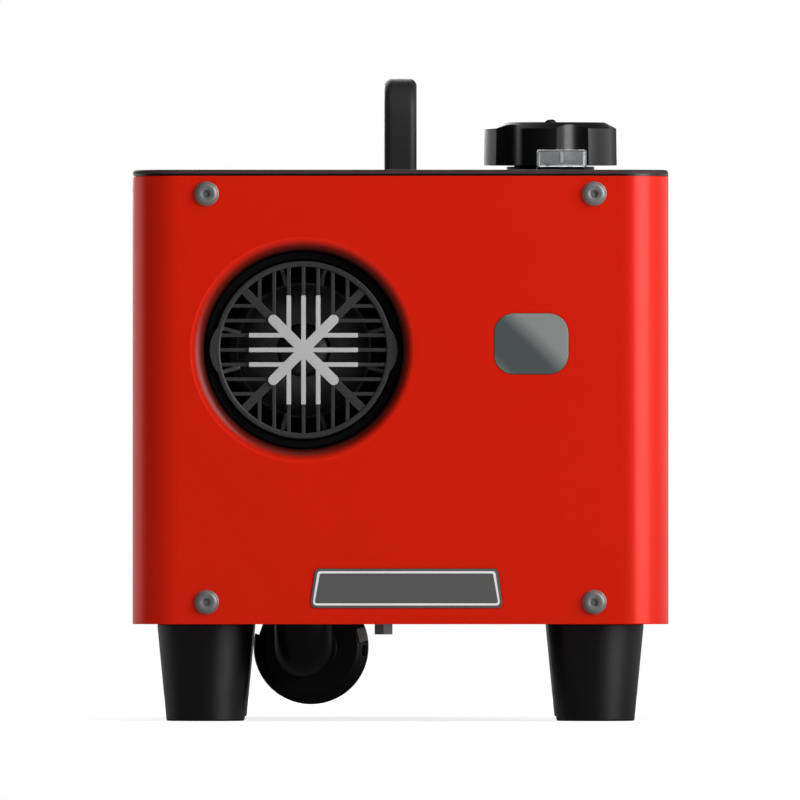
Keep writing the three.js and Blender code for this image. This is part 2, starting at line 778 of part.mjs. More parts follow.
function buildLid() {
  const w = CASE_W - 2 * LID_INSET;
  const d = CASE_D - 2 * LID_INSET;
  const edge = 1.2;
  const full = slab(roundedRect([0, 0], w, d, CORNER_R), [zLid, zTop - edge], 4);
  const stepped = roundedRect([0, 0], w - 2 * edge, d - 2 * edge, CORNER_R - edge);
  const upper = slab(stepped, [zTop - edge - 0.01, zTop], 4);
  const through = [zLid - 1, zTop + 1];
  const switchHole = roundedRect(
    [switchX, switchY],
    SWITCH_W - 2 * SWITCH_BODY_IN + 2 * GAP,
    SWITCH_D - 2 * SWITCH_BODY_IN + 2 * GAP,
    1,
  );
  const panelHole = roundedRect([panelX, panelY], PANEL_L + 2 * GAP, PANEL_D + 2 * GAP, PANEL_CORNER);
  const holes = [
    rodZ(NECK_R + GAP, [tankX, fillY], through, ROUND),
    slab(switchHole, through),
    slab(panelHole, through),
  ];
  piece("top_cover", cut(join(full, upper, ...lidLips()), ...holes), blackPaint);
}

/** The bow's outline in (y, z): two upright legs and a flat top with round bends. */
function handleOutline() {
  const half = HANDLE_L / 2;
  const top = zTop + HANDLE_RISE;
  const foot = zTop - 2 * HANDLE_ROUND;
  const outer = HANDLE_BEND;
  const inner = HANDLE_BEND - HANDLE_T;
  const s = new THREE.Shape();
  s.moveTo(half, foot);
  s.absarc(half - outer, top - outer, outer, 0, Math.PI / 2, false);
  s.absarc(-half + outer, top - outer, outer, Math.PI / 2, Math.PI, false);
  s.lineTo(-half, foot);
  s.lineTo(-half + HANDLE_T, foot);
  s.absarc(-half + outer, top - outer, inner, Math.PI, Math.PI / 2, true);
  s.absarc(half - outer, top - outer, inner, Math.PI / 2, 0, true);
  s.lineTo(half - HANDLE_T, foot);
  s.closePath();
  return s;
}

function buildHandle() {
  const options = {
    depth: HANDLE_W - 2 * HANDLE_ROUND,
    bevelThickness: HANDLE_ROUND,
    bevelSize: HANDLE_ROUND,
    bevelOffset: -HANDLE_ROUND,
    bevelSegments: 2,
    curveSegments: 4,
  };
  const alongX = new THREE.Matrix4().makeBasis(vector(0, 1, 0), vector(0, 0, 1), vector(1, 0, 0));
  const bow = new THREE.ExtrudeGeometry(handleOutline(), options).applyMatrix4(alongX);
  bow.translate(-HANDLE_W / 2 + HANDLE_ROUND, 0, 0);
  const below = block([-HANDLE_W, HANDLE_W], [-HANDLE_L, HANDLE_L], [zLid - 3 * HANDLE_ROUND, zTop + SEAT]);
  piece("handle", cut(bow, below), blackPlastic);
}

// ---------------------------------------------------------------- hot-air outlet

const ringFace = yFront + RING_SET;
const ringBack = ringFace + RING_D;
const collarFace = yFront + COLLAR_SET;
const yShell = yFront + CORE_SET;
const shellIn = SHELL_R - SHELL_T;

/** Collar in the panel's throat, with the duct that widens back into the heater's shell. */
function buildCollar() {
  const bore = around(RING_R + GAP, ROUND);
  const stop = RING_R - RING_T + 1;
  const flangeFace = yFront + THROAT + SEAT;
  const flangeBack = flangeFace + COLLAR_FLANGE;
  const duct = shellIn - GAP;
  const collar = turnedY(
    [
      [bore, collarFace],
      [MOUTH_R - GAP, collarFace],
      [MOUTH_R - GAP, flangeFace],
      [MOUTH_R + PANEL_T + 2, flangeFace],
      [MOUTH_R + PANEL_T + 2, flangeBack],
      [bore + DUCT_T, flangeBack],
      [duct, yShell],
      [duct, yShell + PLUG_IN],
      [duct - DUCT_T, yShell + PLUG_IN],
      [duct - DUCT_T, yShell],
      [stop, ringBack + SEAT + 2],
      [stop, ringBack + SEAT],
      [bore, ringBack + SEAT],
    ],
    axisXZ,
  );
  piece("outlet_collar", collar, blackPlastic);
}

/** The bars of one quadrant pair: short bars that start at the diagonal spokes and end in the ring. */
function grilleBars(y) {
  const reach = RING_R - RING_T / 2;
  const bars = [];
  for (let k = -BARS_A_SIDE; k <= BARS_A_SIDE; k += 1) {
    const u = k * BAR_PITCH;
    const end = Math.sqrt(reach * reach - u * u);
    for (const s of [-1, 1]) {
      const run = [s * Math.abs(u), s * end].sort((a, b) => a - b);
      const across = [u - BAR_W / 2, u + BAR_W / 2];
      bars.push([across, run], [run, across]);
    }
  }
  return bars.map(([xs, zs]) =>
    block(xs.map((v) => v + outX), y, zs.map((v) => v + zOut)),
  );
}

/** Grille ring with two finger lugs, diagonal spokes and four fields of bars. */
function buildGrille() {
  const y = [ringFace + 1, ringFace + 1 + BAR_D];
  const ring = tubeY(RING_R - RING_T, RING_R, axisXZ, [ringFace, ringBack]);
  const lugs = [-1, 1].map((s) => {
    const at = [outX + s * (RING_R + LUG_REACH - LUG_R), zOut];
    const disc = rodY(LUG_R, at, [ringFace, ringFace + LUG_T], ROUND);
    return cut(disc, rodY(RING_R - RING_T / 2, axisXZ, [ringFace - 1, ringBack], ROUND));
  });
  const reach = RING_R - RING_T / 2;
  const spokes = [-45, 45].map((degrees) =>
    block([-reach, reach], y, [-SPOKE_W / 2, SPOKE_W / 2])
      .rotateY(THREE.MathUtils.degToRad(degrees))
      .translate(outX, 0, zOut),
  );
  piece("outlet_grille", join(ring, ...lugs, ...spokes, ...grilleBars(y)), greyPlastic);
}

/** The pale star on the grille: three bars each way and a diagonal cross with round ends. */
function buildStar() {
  const y = [ringFace + 1 - SEAT - STAR_T, ringFace + 1 - SEAT];
  const bars = [-1, 0, 1].flatMap((k) => {
    const across = [k * BAR_PITCH - STAR_BAR_W / 2, k * BAR_PITCH + STAR_BAR_W / 2];
    const along = [-STAR_REACH, STAR_REACH];
    return [[across, along], [along, across]];
  });
  const strips = bars.map(([xs, zs]) => block(xs.map((v) => v + outX), y, zs.map((v) => v + zOut)));
  const arms = [-45, 45].flatMap((degrees) => {
    const a = THREE.MathUtils.degToRad(degrees);
    const bar = block([-STAR_ARM, STAR_ARM], y, [-STAR_ARM_W / 2, STAR_ARM_W / 2])
      .rotateY(a)
      .translate(outX, 0, zOut);
    const ends = [-1, 1].map((s) =>
      rodY(STAR_ARM_W / 2, [outX + s * STAR_ARM * Math.cos(a), zOut - s * STAR_ARM * Math.sin(a)], y, SMALL),
    );
    return [bar, ...ends];
  });
  piece("grille_star_trim", join(...strips, ...arms), lightPlastic);
}

// ---------------------------------------------------------------- rear intake grille and power inlet

function buildIntakeGrille() {
  const yIn = yRear - PANEL_T - 1;
  const rim = tubeY(INTAKE_R - 3, INTAKE_R + INTAKE_RIM, axisXZ, [yRear + SEAT, yRear + INTAKE_RIM_T]);
  const spigot = tubeY(INTAKE_R - 3, INTAKE_R, axisXZ, [yIn, yRear + INTAKE_RIM_T / 2]);
  const y = [yIn + 1, yRear + INTAKE_RIM_T - 0.4];
  const reach = INTAKE_R - 1.5;
  const bars = [];
  for (let k = -INTAKE_BARS_A_SIDE; k <= INTAKE_BARS_A_SIDE; k += 1) {
    const u = k * INTAKE_PITCH;
    const end = Math.sqrt(reach * reach - u * u);
    bars.push(
      block([outX - end, outX + end], y, [zOut + u - INTAKE_BAR_W / 2, zOut + u + INTAKE_BAR_W / 2]),
    );
  }
  const postX = [outX - INTAKE_BAR_W, outX + INTAKE_BAR_W];
  const post = block(postX, [y[0], y[0] + 2], [zOut - reach, zOut + reach]);
  piece("intake_grille", join(rim, spigot, post, ...bars), blackPlastic);
}

/** Power inlet: flanged socket through the rear panel, with two contact pins. */
function buildInlet() {
  const rim = roundedRect(inletAt, INLET_W + 2 * INLET_RIM, INLET_H + 2 * INLET_RIM, 3);
  const body = roundedRect(inletAt, INLET_W, INLET_H, 2);
  const hollow = roundedRect(inletAt, INLET_W - 2 * INLET_WALL, INLET_H - 2 * INLET_WALL, 1);
  const yIn = yRear - INLET_DEEP;
  const housing = cut(
    join(plateY(rim, [yRear + SEAT, yRear + 2]), plateY(body, [yIn, yRear + 1])),
    plateY(hollow, [yIn + INLET_WALL, yRear + 3]),
  );
  const pins = [-1, 1].map((s) =>
    rodY(PIN_R, [inletAt[0] + (s * PIN_PITCH) / 2, inletAt[1]], [yIn + 1, yIn + INLET_WALL + PIN_L], TINY),
  );
  piece("power_inlet", join(housing, ...pins), blackPlastic);
}

// ---------------------------------------------------------------- fuel tank, neck and cap

const tankHalfD = ySeam - TAB_T - SCREW_PAST - TANK_END_GAP;
const tankBottom = zFloor + SEAT;
const tankTop = zTop - SWITCH_DEEP - TANK_HEADROOM;
const fillXY = [tankX, fillY];
const tankNippleYZ = [tankHalfD - OUTLET_NIPPLE_IN, tankBottom + OUTLET_NIPPLE_UP];

function buildTank() {
  const outer = slab(roundedRect([tankX, 0], tankW, 2 * tankHalfD, TANK_R), [tankBottom, tankTop]);
  const w = tankW - 2 * TANK_T;
  const d = 2 * (tankHalfD - TANK_T);
  const hollow = roundedRect([tankX, 0], w, d, TANK_R - TANK_T);
  const inner = slab(hollow, [tankBottom + TANK_T, tankTop - TANK_T]);
  const hole = rodZ(NECK_THREAD_R + GAP, fillXY, [tankTop - 2 * TANK_T, tankTop + 1], ROUND);
  const nipple = rodX(PUMP_NIPPLE_R, tankNippleYZ, [tankLeft - PUMP_NIPPLE_L, tankLeft + TANK_T / 2], TINY);
  const passage = rodX(PASSAGE_R, tankNippleYZ, [tankLeft - PUMP_NIPPLE_L - 1, tankLeft + TANK_T + 1], TINY);
  piece("fuel_tank", cut(join(cut(outer, inner), nipple), hole, passage), tankPlastic);
}

const capBottom = zTop + CAP_LIFT;
const capTop = capBottom + CAP_H;
const capCeiling = capTop - CAP_ROOF;
const gasketZ = [capCeiling - SEAT - GASKET_T, capCeiling - SEAT];
const neckTop = gasketZ[0] - SEAT;

function buildNeck() {
  const flange = tankTop + SEAT;
  const profile = [
    [NECK_BORE, tankTop - NECK_SPIGOT],
    [NECK_THREAD_R, tankTop - NECK_SPIGOT],
    [NECK_THREAD_R, flange],
    [NECK_FLANGE_R, flange],
    [NECK_FLANGE_R, flange + NECK_FLANGE_T],
    [NECK_R, flange + NECK_FLANGE_T],
    [NECK_R, zTop + NECK_SHOW],
    [NECK_THREAD_R, zTop + NECK_SHOW],
    [NECK_THREAD_R, neckTop],
    [NECK_BORE, neckTop],
  ];
  piece("filler_neck", turnedZ(profile, fillXY), blackPlastic);
  const ring = [
    [NECK_BORE, gasketZ[0]],
    [NECK_THREAD_R, gasketZ[0]],
    [NECK_THREAD_R, gasketZ[1]],
    [NECK_BORE, gasketZ[1]],
  ];
  piece("cap_gasket", turnedZ(ring, fillXY, MEDIUM), rubber);
}

/** Plan of the cap: lobes at the full radius and scallops between them, each half of the pitch. */
function capPlan() {
  const pitch = 360 / CAP_LOBES;
  const points = [];
  for (let k = 0; k < CAP_LOBES; k += 1) {
    const middle = -90 + CAP_TURN + k * pitch;
    points.push(...arc(fillXY, CAP_R, middle - pitch / 4, middle + pitch / 4));
    for (const share of [0.25, 0.5, 0.75]) {
      const a = THREE.MathUtils.degToRad(middle + pitch * (0.25 + share / 2));
      const r = CAP_R - (CAP_R - CAP_GRIP_R) * Math.sin(Math.PI * share);
      points.push([fillXY[0] + r * Math.cos(a), fillXY[1] + r * Math.sin(a)]);
    }
  }
  return new THREE.Shape(points.map(([x, y]) => new THREE.Vector2(x, y)));
}

function buildCap() {
  const body = slab(capPlan(), [capBottom, capTop]);
  const cone = turnedZ(
    [
      [0, capBottom - 1],
      [CAP_R + 1, capBottom - 1],
      [CAP_R + 1, capTop - CAP_CHAMFER_H],
      [CAP_R, capTop - CAP_CHAMFER_H],
      [CAP_R - CAP_CHAMFER, capTop],
      [0, capTop],
    ],
    fillXY,
  );
  const skirtIn = NECK_THREAD_R + GAP;
  const shoulder = rodZ(NECK_R + GAP, fillXY, [capBottom - 1, zTop + NECK_SHOW + GAP], ROUND);
  const bore = rodZ(skirtIn, fillXY, [capBottom - 1, capCeiling], ROUND);
  const vent = rodZ(VENT_STEM_R + GAP, fillXY, [capCeiling - 1, capTop + 1], TINY);
  piece("filler_cap", cut(common(body, cone), shoulder, bore, vent), blackPlastic);
  const valve = [
    [0, capCeiling + SEAT],
    [VENT_STEM_R, capCeiling + SEAT],
    [VENT_STEM_R, capTop + SEAT],
    [VENT_R, capTop + SEAT],
    [VENT_R * 0.86, capTop + SEAT + VENT_H * 0.6],
    [VENT_R * 0.5, capTop + SEAT + VENT_H * 0.93],
    [0, capTop + SEAT + VENT_H],
  ];
  piece("cap_vent_valve", turnedZ(valve, fillXY, SMALL), blackPlastic);
}

// ---------------------------------------------------------------- power switch

const switchRim = zTop + SEAT + SWITCH_RIM_T;
const barrelY = switchY + SWITCH_D / 2 + BARREL_R;
const barrelZ = switchRim + BARREL_R + GAP;
const rockerZ = switchRim - 1;

function buildSwitch() {
  const at = [switchX, switchY];
  const bodyW = SWITCH_W - 2 * SWITCH_BODY_IN;
  const bodyD = SWITCH_D - 2 * SWITCH_BODY_IN;
  const pocketW = bodyW - 2 * SWITCH_WALL;
  const pocketD = bodyD - 2 * SWITCH_WALL;
  const rim = slab(roundedRect(at, SWITCH_W, SWITCH_D, 2), [zTop + SEAT, switchRim]);
  const body = slab(roundedRect(at, bodyW, bodyD, 1), [zTop - SWITCH_DEEP, switchRim - 0.2]);
  const pocket = slab(roundedRect(at, pocketW, pocketD, 0.5), [switchRim - SWITCH_POCKET, switchRim + 1]);
  const earR = BARREL_R - GAP;
  const ears = [-1, 1].flatMap((s) => {
    const x = [0, s * EAR_W].map((v) => switchX + s * (BARREL_L / 2 + GAP) + v).sort((a, b) => a - b);
    return [
      rodX(earR, [barrelY, barrelZ], x),
      block(x, [barrelY - earR, barrelY + earR], [zTop + SEAT, barrelZ]),
    ];
  });
  const earEnd = BARREL_L / 2 + GAP + EAR_W;
  const bridge = block(
    [switchX - earEnd, switchX + earEnd],
    [switchY + SWITCH_D / 2 - 2, barrelY + earR],
    [zTop + SEAT, switchRim],
  );
  const pinEnds = [switchX - earEnd - 1, switchX + earEnd + 1];
  const pinHole = rodX(TRUNNION_R + GAP, [barrelY, barrelZ], pinEnds, TINY);
  piece("switch_body", cut(join(rim, body, bridge, ...ears), pocket, pinHole), blackPlastic);

  const half = pocketW / 2 - GAP - 0.3;
  const rocker = new THREE.Shape([
    new THREE.Vector2(-half, 0),
    new THREE.Vector2(half * -0.25, -4),
    new THREE.Vector2(half * 0.25, -4),
    new THREE.Vector2(half, 0),
    new THREE.Vector2(half, ROCKER_RISE),
    new THREE.Vector2(0, ROCKER_RISE * 0.35),
    new THREE.Vector2(-half, ROCKER_RISE),
  ]);
  const deep = pocketD / 2 - GAP;
  const paddle = plateY(rocker, [-deep, deep]).rotateY(THREE.MathUtils.degToRad(ROCKER_ANGLE));
  piece("switch_rocker", paddle.translate(switchX, switchY, rockerZ), blackPlastic);
}

/** Clear box over the rocker, hinged at its rear edge on two trunnions. */
function buildSwitchCover() {
  const at = [switchX, switchY];
  const z0 = switchRim + SEAT;
  const outer = slab(roundedRect(at, SWITCH_W, SWITCH_D, 1.6), [z0, z0 + COVER_H]);
  const inner = slab(roundedRect(at, SWITCH_W - 2 * COVER_T, SWITCH_D - 2 * COVER_T, 0.8), [
    z0 - 1,
    z0 + COVER_H - COVER_T,
  ]);
  const yz = [barrelY, barrelZ];
  const barrel = rodX(BARREL_R, yz, [switchX - BARREL_L / 2, switchX + BARREL_L / 2], SMALL);
  const reach = BARREL_L / 2 + EAR_W - GAP;
  const trunnions = rodX(TRUNNION_R, yz, [switchX - reach, switchX + reach], TINY);
  const web = block(
    [switchX - BARREL_L / 2, switchX + BARREL_L / 2],
    [switchY + SWITCH_D / 2 - COVER_T, barrelY],
    [barrelZ - 0.6, barrelZ + 0.9],
  );
  piece("switch_cover", join(cut(outer, inner), barrel, trunnions, web), clearPlastic);
}

// ---------------------------------------------------------------- control panel

const panelBack = zLid - SEAT - PANEL_FLANGE_T;
const panelFace = zTop - SEAT;
const buttonFoot = panelBack - SEAT - BUTTON_RIM_T;
const tactTop = buttonFoot - BUTTON_TRAVEL - SEAT;
const boardTop = tactTop - TACT_H;
const buttonSpots = [-1.5, -0.5, 0.5, 1.5].map((k) => [panelX + k * BUTTON_PITCH, panelY + BUTTON_Y]);

function buildControlPanel() {
  const at = [panelX, panelY];
  const wide = [PANEL_L + 2 * PANEL_FLANGE, PANEL_D + 2 * PANEL_FLANGE];
  const flange = slab(roundedRect(at, ...wide, PANEL_CORNER), [panelBack, zLid - SEAT]);
  const raised = slab(roundedRect(at, PANEL_L, PANEL_D, PANEL_CORNER - GAP), [panelBack + 1, panelFace]);
  const screenAt = [panelX, panelY + SCREEN_Y];
  const pocket = slab(roundedRect(screenAt, SCREEN_W + 2 * GAP, SCREEN_D + 2 * GAP, 2), [
    panelFace - SCREEN_T,
    panelFace + 1,
  ]);
  const view = slab(roundedRect(screenAt, SCREEN_W - 4, SCREEN_D - 4, 1), [panelBack - 1, panelFace]);
  const holes = buttonSpots.map((spot) => rodZ(BUTTON_R + GAP, spot, [panelBack - 1, panelFace + 1], SMALL));
  piece("control_fascia", cut(join(flange, raised), pocket, view, ...holes), blackPlastic);
  const screen = slab(roundedRect(screenAt, SCREEN_W, SCREEN_D, 2), [panelFace - SCREEN_T + SEAT, panelFace]);
  piece("display_window", screen, screenGlass);
}

function buildButtons() {
  const names = ["button_power", "button_down", "button_up", "button_set"];
  names.forEach((name, i) => {
    const top = panelFace - BUTTON_SUNK;
    const profile = [
      [0, buttonFoot],
      [BUTTON_R + BUTTON_RIM, buttonFoot],
      [BUTTON_R + BUTTON_RIM, buttonFoot + BUTTON_RIM_T],
      [BUTTON_R, buttonFoot + BUTTON_RIM_T],
      [BUTTON_R, top - 0.5],
      [BUTTON_R - 0.5, top],
      [0, top],
    ];
    piece(name, turnedZ(profile, buttonSpots[i], SMALL), rubber);
  });
}

/** Circuit board with a push switch under each button, a display carrier and four pillars. */
function buildBoard() {
  const z = [boardTop - BOARD_T, boardTop];
  const board = slab(roundedRect([panelX, panelY], PANEL_L - 4, PANEL_D - 2, 3), z);
  const tacts = buttonSpots.map(([x, y]) =>
    block([x - TACT_W / 2, x + TACT_W / 2], [y - TACT_W / 2, y + TACT_W / 2], [boardTop - 0.5, tactTop]),
  );
  const screenAt = [panelX, panelY + SCREEN_Y];
  const display = block(
    [screenAt[0] - SCREEN_W / 2 + 3, screenAt[0] + SCREEN_W / 2 - 3],
    [screenAt[1] - SCREEN_D / 2 + 3, screenAt[1] + SCREEN_D / 2 - 3],
    [boardTop - 0.5, panelBack],
  );
  const pillars = [-1, 1].flatMap((sx) =>
    [-1, 1].map((sy) =>
      rodZ(
        PILLAR_R,
        [panelX + sx * (PANEL_L / 2 - 6), panelY + sy * (PANEL_D / 2 - 5)],
        [boardTop - 0.5, panelBack - SEAT],
        TINY,
      ),
    ),
  );
  piece("control_board", join(board, display, ...tacts, ...pillars), boardGreen);
}

// ---------------------------------------------------------------- heater unit

const yShellRear = yRear - CORE_REAR;
const yFan = [yShellRear - FAN_REAR - FAN_D, yShellRear - FAN_REAR];
const yMotorRear = yFan[0] - FAN_GAP;
const yMotor = yMotorRear - MOTOR_L - MOTOR_PLATE_T;
const yCup = yMotor - SEAT;
const yFlange = [yCup - CUP_L - BURNER_FLANGE_T, yCup - CUP_L];
const yFins = [yShell + EXCHANGER_SET, yFlange[0] - SEAT];
const finReach = flat(shellIn) - GAP;
const exhaustXY = [outX + EXHAUST_DX, yFins[1] - EXHAUST_BACK];
const intakeXY = [outX + INTAKE_DX, (yFlange[1] + yCup) / 2];
const stubEnd = zOut - SHELL_R - STUB_PAST;
const pipeTop = zOut - SHELL_R - 1;
const boltSpots = [
  [outX + BOLT_DX, yShell + LEG_FRONT],
  [outX - BOLT_DX, yShellRear - LEG_REAR],
];
const nippleXY = [outX + NIPPLE_DX, yShell + NIPPLE_SET];
const PIPE_R = around(STUB_R + GAP, SMALL) + PIPE_WALL;

/** One half of the plastic shell round the unit: the half above or below the axis. */
function shellHalf(sign) {
  const tube = tubeY(shellIn, SHELL_R, axisXZ, [yShell, yShellRear]);
  const split = sign > 0 ? [zOut - 2 * SHELL_R, zOut + GAP / 2] : [zOut - GAP / 2, zOut + 2 * SHELL_R];
  return cut(tube, block([outX - 2 * SHELL_R, outX + 2 * SHELL_R], [yShell - 1, yShellRear + 1], split));
}

/** The lower half stands on four legs; two take the bolts that come up through the floor. */
function buildShells() {
  piece("core_shell_upper", shellHalf(1), blackPlastic);
  const top = zOut - Math.sqrt(shellIn ** 2 - (BOLT_DX + LEG_T / 2) ** 2);
  const legs = [yShell + LEG_FRONT, yShellRear - LEG_REAR].flatMap((y) =>
    [-1, 1].map((s) =>
      block(
        [outX + s * BOLT_DX - LEG_T / 2, outX + s * BOLT_DX + LEG_T / 2],
        [y - LEG_T / 2, y + LEG_T / 2],
        [zFloor + SEAT, top],
      ),
    ),
  );
  const clear = rodY(shellIn, axisXZ, [yShell - 1, yShellRear + 1], ROUND);
  const bolts = boltSpots.map((at) => rodZ(BOLT_R + GAP, at, [zFloor - 1, zFloor + BOLT_IN + 2], TINY));
  const nippleTop = zOut - Math.sqrt(shellIn ** 2 - NIPPLE_DX ** 2);
  const nipple = rodZ(NIPPLE_R, nippleXY, [nippleTop - NIPPLE_L, nippleTop + SHELL_T], SMALL);
  const lower = join(shellHalf(-1), ...legs, nipple);
  const holes = [
    rodZ(STUB_R + GAP, exhaustXY, [stubEnd, zOut - shellIn / 2], MEDIUM),
    rodZ(STUB_R + GAP, intakeXY, [stubEnd, zOut - shellIn / 2], MEDIUM),
    rodZ(PASSAGE_R, nippleXY, [nippleTop - NIPPLE_L - 1, zOut - shellIn / 3], TINY),
  ];
  piece("core_shell_lower", cut(lower, clear, ...bolts, ...holes), blackPlastic);
}

/** Cast heat exchanger: a closed drum with fins out to the shell and the exhaust stub. */
function buildExchanger() {
  const half = FIN_T / 2;
  const root = Math.asin(half / EXCHANGER_R);
  const tip = Math.asin(half / finReach);
  const star = [];
  for (let k = 0; k < FINS; k += 1) {
    const a = (2 * Math.PI * (k + 0.5)) / FINS;
    const corners = [[EXCHANGER_R, a - root], [finReach, a - tip], [finReach, a + tip], [EXCHANGER_R, a + root]];
    for (const [r, b] of corners) {
      star.push(new THREE.Vector2(outX + r * Math.cos(b), zOut + r * Math.sin(b)));
    }
  }
  const [y0, y1] = yFins;
  const drum = turnedY(
    [
      [0, y0 - DOME - NUB_H],
      [NUB_R * 0.6, y0 - DOME - NUB_H * 0.8],
      [NUB_R, y0 - DOME - NUB_H * 0.2],
      [NUB_R, y0 - DOME * 0.96],
      [EXCHANGER_R * 0.62, y0 - DOME * 0.78],
      [EXCHANGER_R * 0.88, y0 - DOME * 0.42],
      [EXCHANGER_R + 0.3, y0],
      [EXCHANGER_R + 0.3, y1],
      [EXCHANGER_R - EXCHANGER_T, y1],
      [EXCHANGER_R - EXCHANGER_T, y0 + EXCHANGER_T],
      [0, y0 + EXCHANGER_T],
    ],
    axisXZ,
    MEDIUM,
  );
  const inside = rodY(EXCHANGER_R - 1, axisXZ, [y0 - 1, y1 + 1], MEDIUM);
  const fins = cut(plateY(new THREE.Shape(star), [y0, y1]), inside);
  const wall = zOut - Math.sqrt((EXCHANGER_R - EXCHANGER_T / 2) ** 2 - EXHAUST_DX ** 2);
  const stub = rodZ(STUB_R, exhaustXY, [stubEnd, wall], MEDIUM);
  const bore = rodZ(STUB_R - STUB_T, exhaustXY, [stubEnd - 1, wall + EXCHANGER_T * 2], SMALL);
  const chamber = rodY(EXCHANGER_R - EXCHANGER_T, axisXZ, [y0 + EXCHANGER_T, y1 + 1], MEDIUM);
  piece("heat_exchanger", cut(join(drum, fins, cut(stub, chamber)), bore), castAluminium);
}

/** Burner: flame tube inside the exchanger, flange, and the fan cup with the intake stub. */
function buildBurner() {
  const [f0, f1] = yFlange;
  const body = turnedY(
    [
      [BURNER_R - BURNER_T, f1 - BURNER_L],
      [BURNER_R, f1 - BURNER_L],
      [BURNER_R, f0],
      [EXCHANGER_R, f0],
      [EXCHANGER_R, f1 - CUP_T],
      [CUP_R, f1 - CUP_T],
      [CUP_R, yCup],
      [CUP_R - CUP_T, yCup],
      [CUP_R - CUP_T, f1],
      [BURNER_HOLE_R, f1],
      [BURNER_HOLE_R, f0 + 2],
      [BURNER_R - BURNER_T, f0 + 2],
    ],
    axisXZ,
    MEDIUM,
  );
  const wall = zOut - Math.sqrt((CUP_R - CUP_T / 2) ** 2 - INTAKE_DX ** 2);
  const stub = rodZ(STUB_R, intakeXY, [stubEnd, wall], MEDIUM);
  const chamber = rodY(CUP_R - CUP_T, axisXZ, [f1, yCup + 1], MEDIUM);
  const bore = rodZ(STUB_R - STUB_T, intakeXY, [stubEnd - 1, wall + CUP_T * 3], SMALL);
  const glowHole = rodZ(GLOW_R + GAP, glowXY, [zOut + BURNER_R - 4, zOut + EXCHANGER_R + 1], SMALL);
  piece("burner_housing", cut(join(body, cut(stub, chamber)), bore, glowHole), castAluminium);
}

const glowXY = [outX + GLOW_DX, (yFlange[0] + yFlange[1] - CUP_T) / 2];

function buildGlowPlug() {
  const foot = zOut + BURNER_R - 3.5;
  const hexR = (BURNER_FLANGE_T - CUP_T) / 2 - GAP;
  const hexZ = [zOut + EXCHANGER_R + SEAT, zOut + EXCHANGER_R + 7];
  const profile = [
    [0, foot],
    [GLOW_R * 0.6, foot],
    [GLOW_R, foot + 3],
    [GLOW_R, hexZ[0]],
    [hexR, hexZ[0]],
    [hexR, hexZ[1]],
    [1.8, hexZ[1]],
    [1.8, hexZ[1] + 10],
    [0, hexZ[1] + 10],
  ];
  piece("glow_plug", turnedZ(profile, glowXY, TINY), zincSteel);
}

/** Motor with its mounting plate, three spokes that carry it in the shell, and a bore for the shaft. */
function buildMotor() {
  const plate = rodY(CUP_R, axisXZ, [yMotor, yMotor + MOTOR_PLATE_T], MEDIUM);
  const can = rodY(MOTOR_R, axisXZ, [yMotor + 1, yMotorRear], MEDIUM);
  const spokes = [0, 90, 180].map((degrees) =>
    block([MOTOR_R - 2, finReach], [yMotor + 6, yMotorRear - 6], [-SPOKE_T / 2, SPOKE_T / 2])
      .rotateY(THREE.MathUtils.degToRad(degrees))
      .translate(outX, 0, zOut),
  );
  const bore = rodY(SHAFT_R + GAP, axisXZ, [yMotor - 1, yMotorRear + 1], SMALL);
  piece("blower_motor", cut(join(plate, can, ...spokes), bore), zincSteel);
}

/** Combustion fan on the motor's shaft, which runs right through the motor to the big fan. */
function buildBurnerFan() {
  const y0 = yFlange[1] + 4;
  const shaft = rodY(SHAFT_R, axisXZ, [y0, yFan[1] - 2], SMALL);
  const disc = rodY(IMPELLER_R, axisXZ, [y0 + IMPELLER_D - 2, y0 + IMPELLER_D], MEDIUM);
  const hub = rodY(8, axisXZ, [y0 + 1, y0 + IMPELLER_D + 2], SMALL);
  const blades = Array.from({ length: IMPELLER_BLADES }, (_, k) =>
    block([11, IMPELLER_R], [y0 + 2, y0 + IMPELLER_D - 1], [-0.7, 0.7])
      .rotateY((2 * Math.PI * k) / IMPELLER_BLADES)
      .translate(outX, 0, zOut),
  );
  piece("burner_fan", join(shaft, disc, hub, ...blades), blackPlastic);
}

/** The big hot-air fan: cupped hub and pitched blades. */
function buildBlowerWheel() {
  const [y0, y1] = yFan;
  const hub = turnedY(
    [
      [SHAFT_R + GAP, y0],
      [FAN_HUB_R, y0],
      [FAN_HUB_R, y1 - 6],
      [FAN_HUB_R * 0.75, y1],
      [SHAFT_R + GAP, y1],
    ],
    axisXZ,
    MEDIUM,
  );
  const middle = (y0 + y1) / 2;
  const pitch = THREE.MathUtils.degToRad(FAN_PITCH);
  const blades = Array.from({ length: FAN_BLADES }, (_, k) =>
    block([FAN_HUB_R - 2, FAN_R], [-1, 1], [-FAN_D * 0.62, FAN_D * 0.62])
      .rotateX(pitch)
      .rotateY((2 * Math.PI * k) / FAN_BLADES)
      .translate(outX, middle, zOut),
  );
  const envelope = tubeY(FAN_HUB_R - 3, FAN_R, axisXZ, [y0 + 0.5, y1 - 0.5]);
  const trimmed = blades.map((blade) => common(blade, envelope));
  piece("blower_wheel", join(hub, ...trimmed), blackPlastic);
}

/** Control unit behind the motor's plate, under the top of the shell. */
function buildControlUnit() {
  const top = zOut + Math.sqrt(finReach ** 2 - (UNIT_W / 2) ** 2);
  const x = [outX - UNIT_W / 2, outX + UNIT_W / 2];
  const y0 = yMotor + MOTOR_PLATE_T + SEAT;
  const box = block(x, [y0, y0 + UNIT_L], [top - UNIT_H, top]);
  const plug = block([outX - 12, outX + 12], [y0 + UNIT_L - 1, y0 + UNIT_L + 5], [top - 11, top - 3]);
  piece("control_unit", join(box, plug), blackPlastic);
}

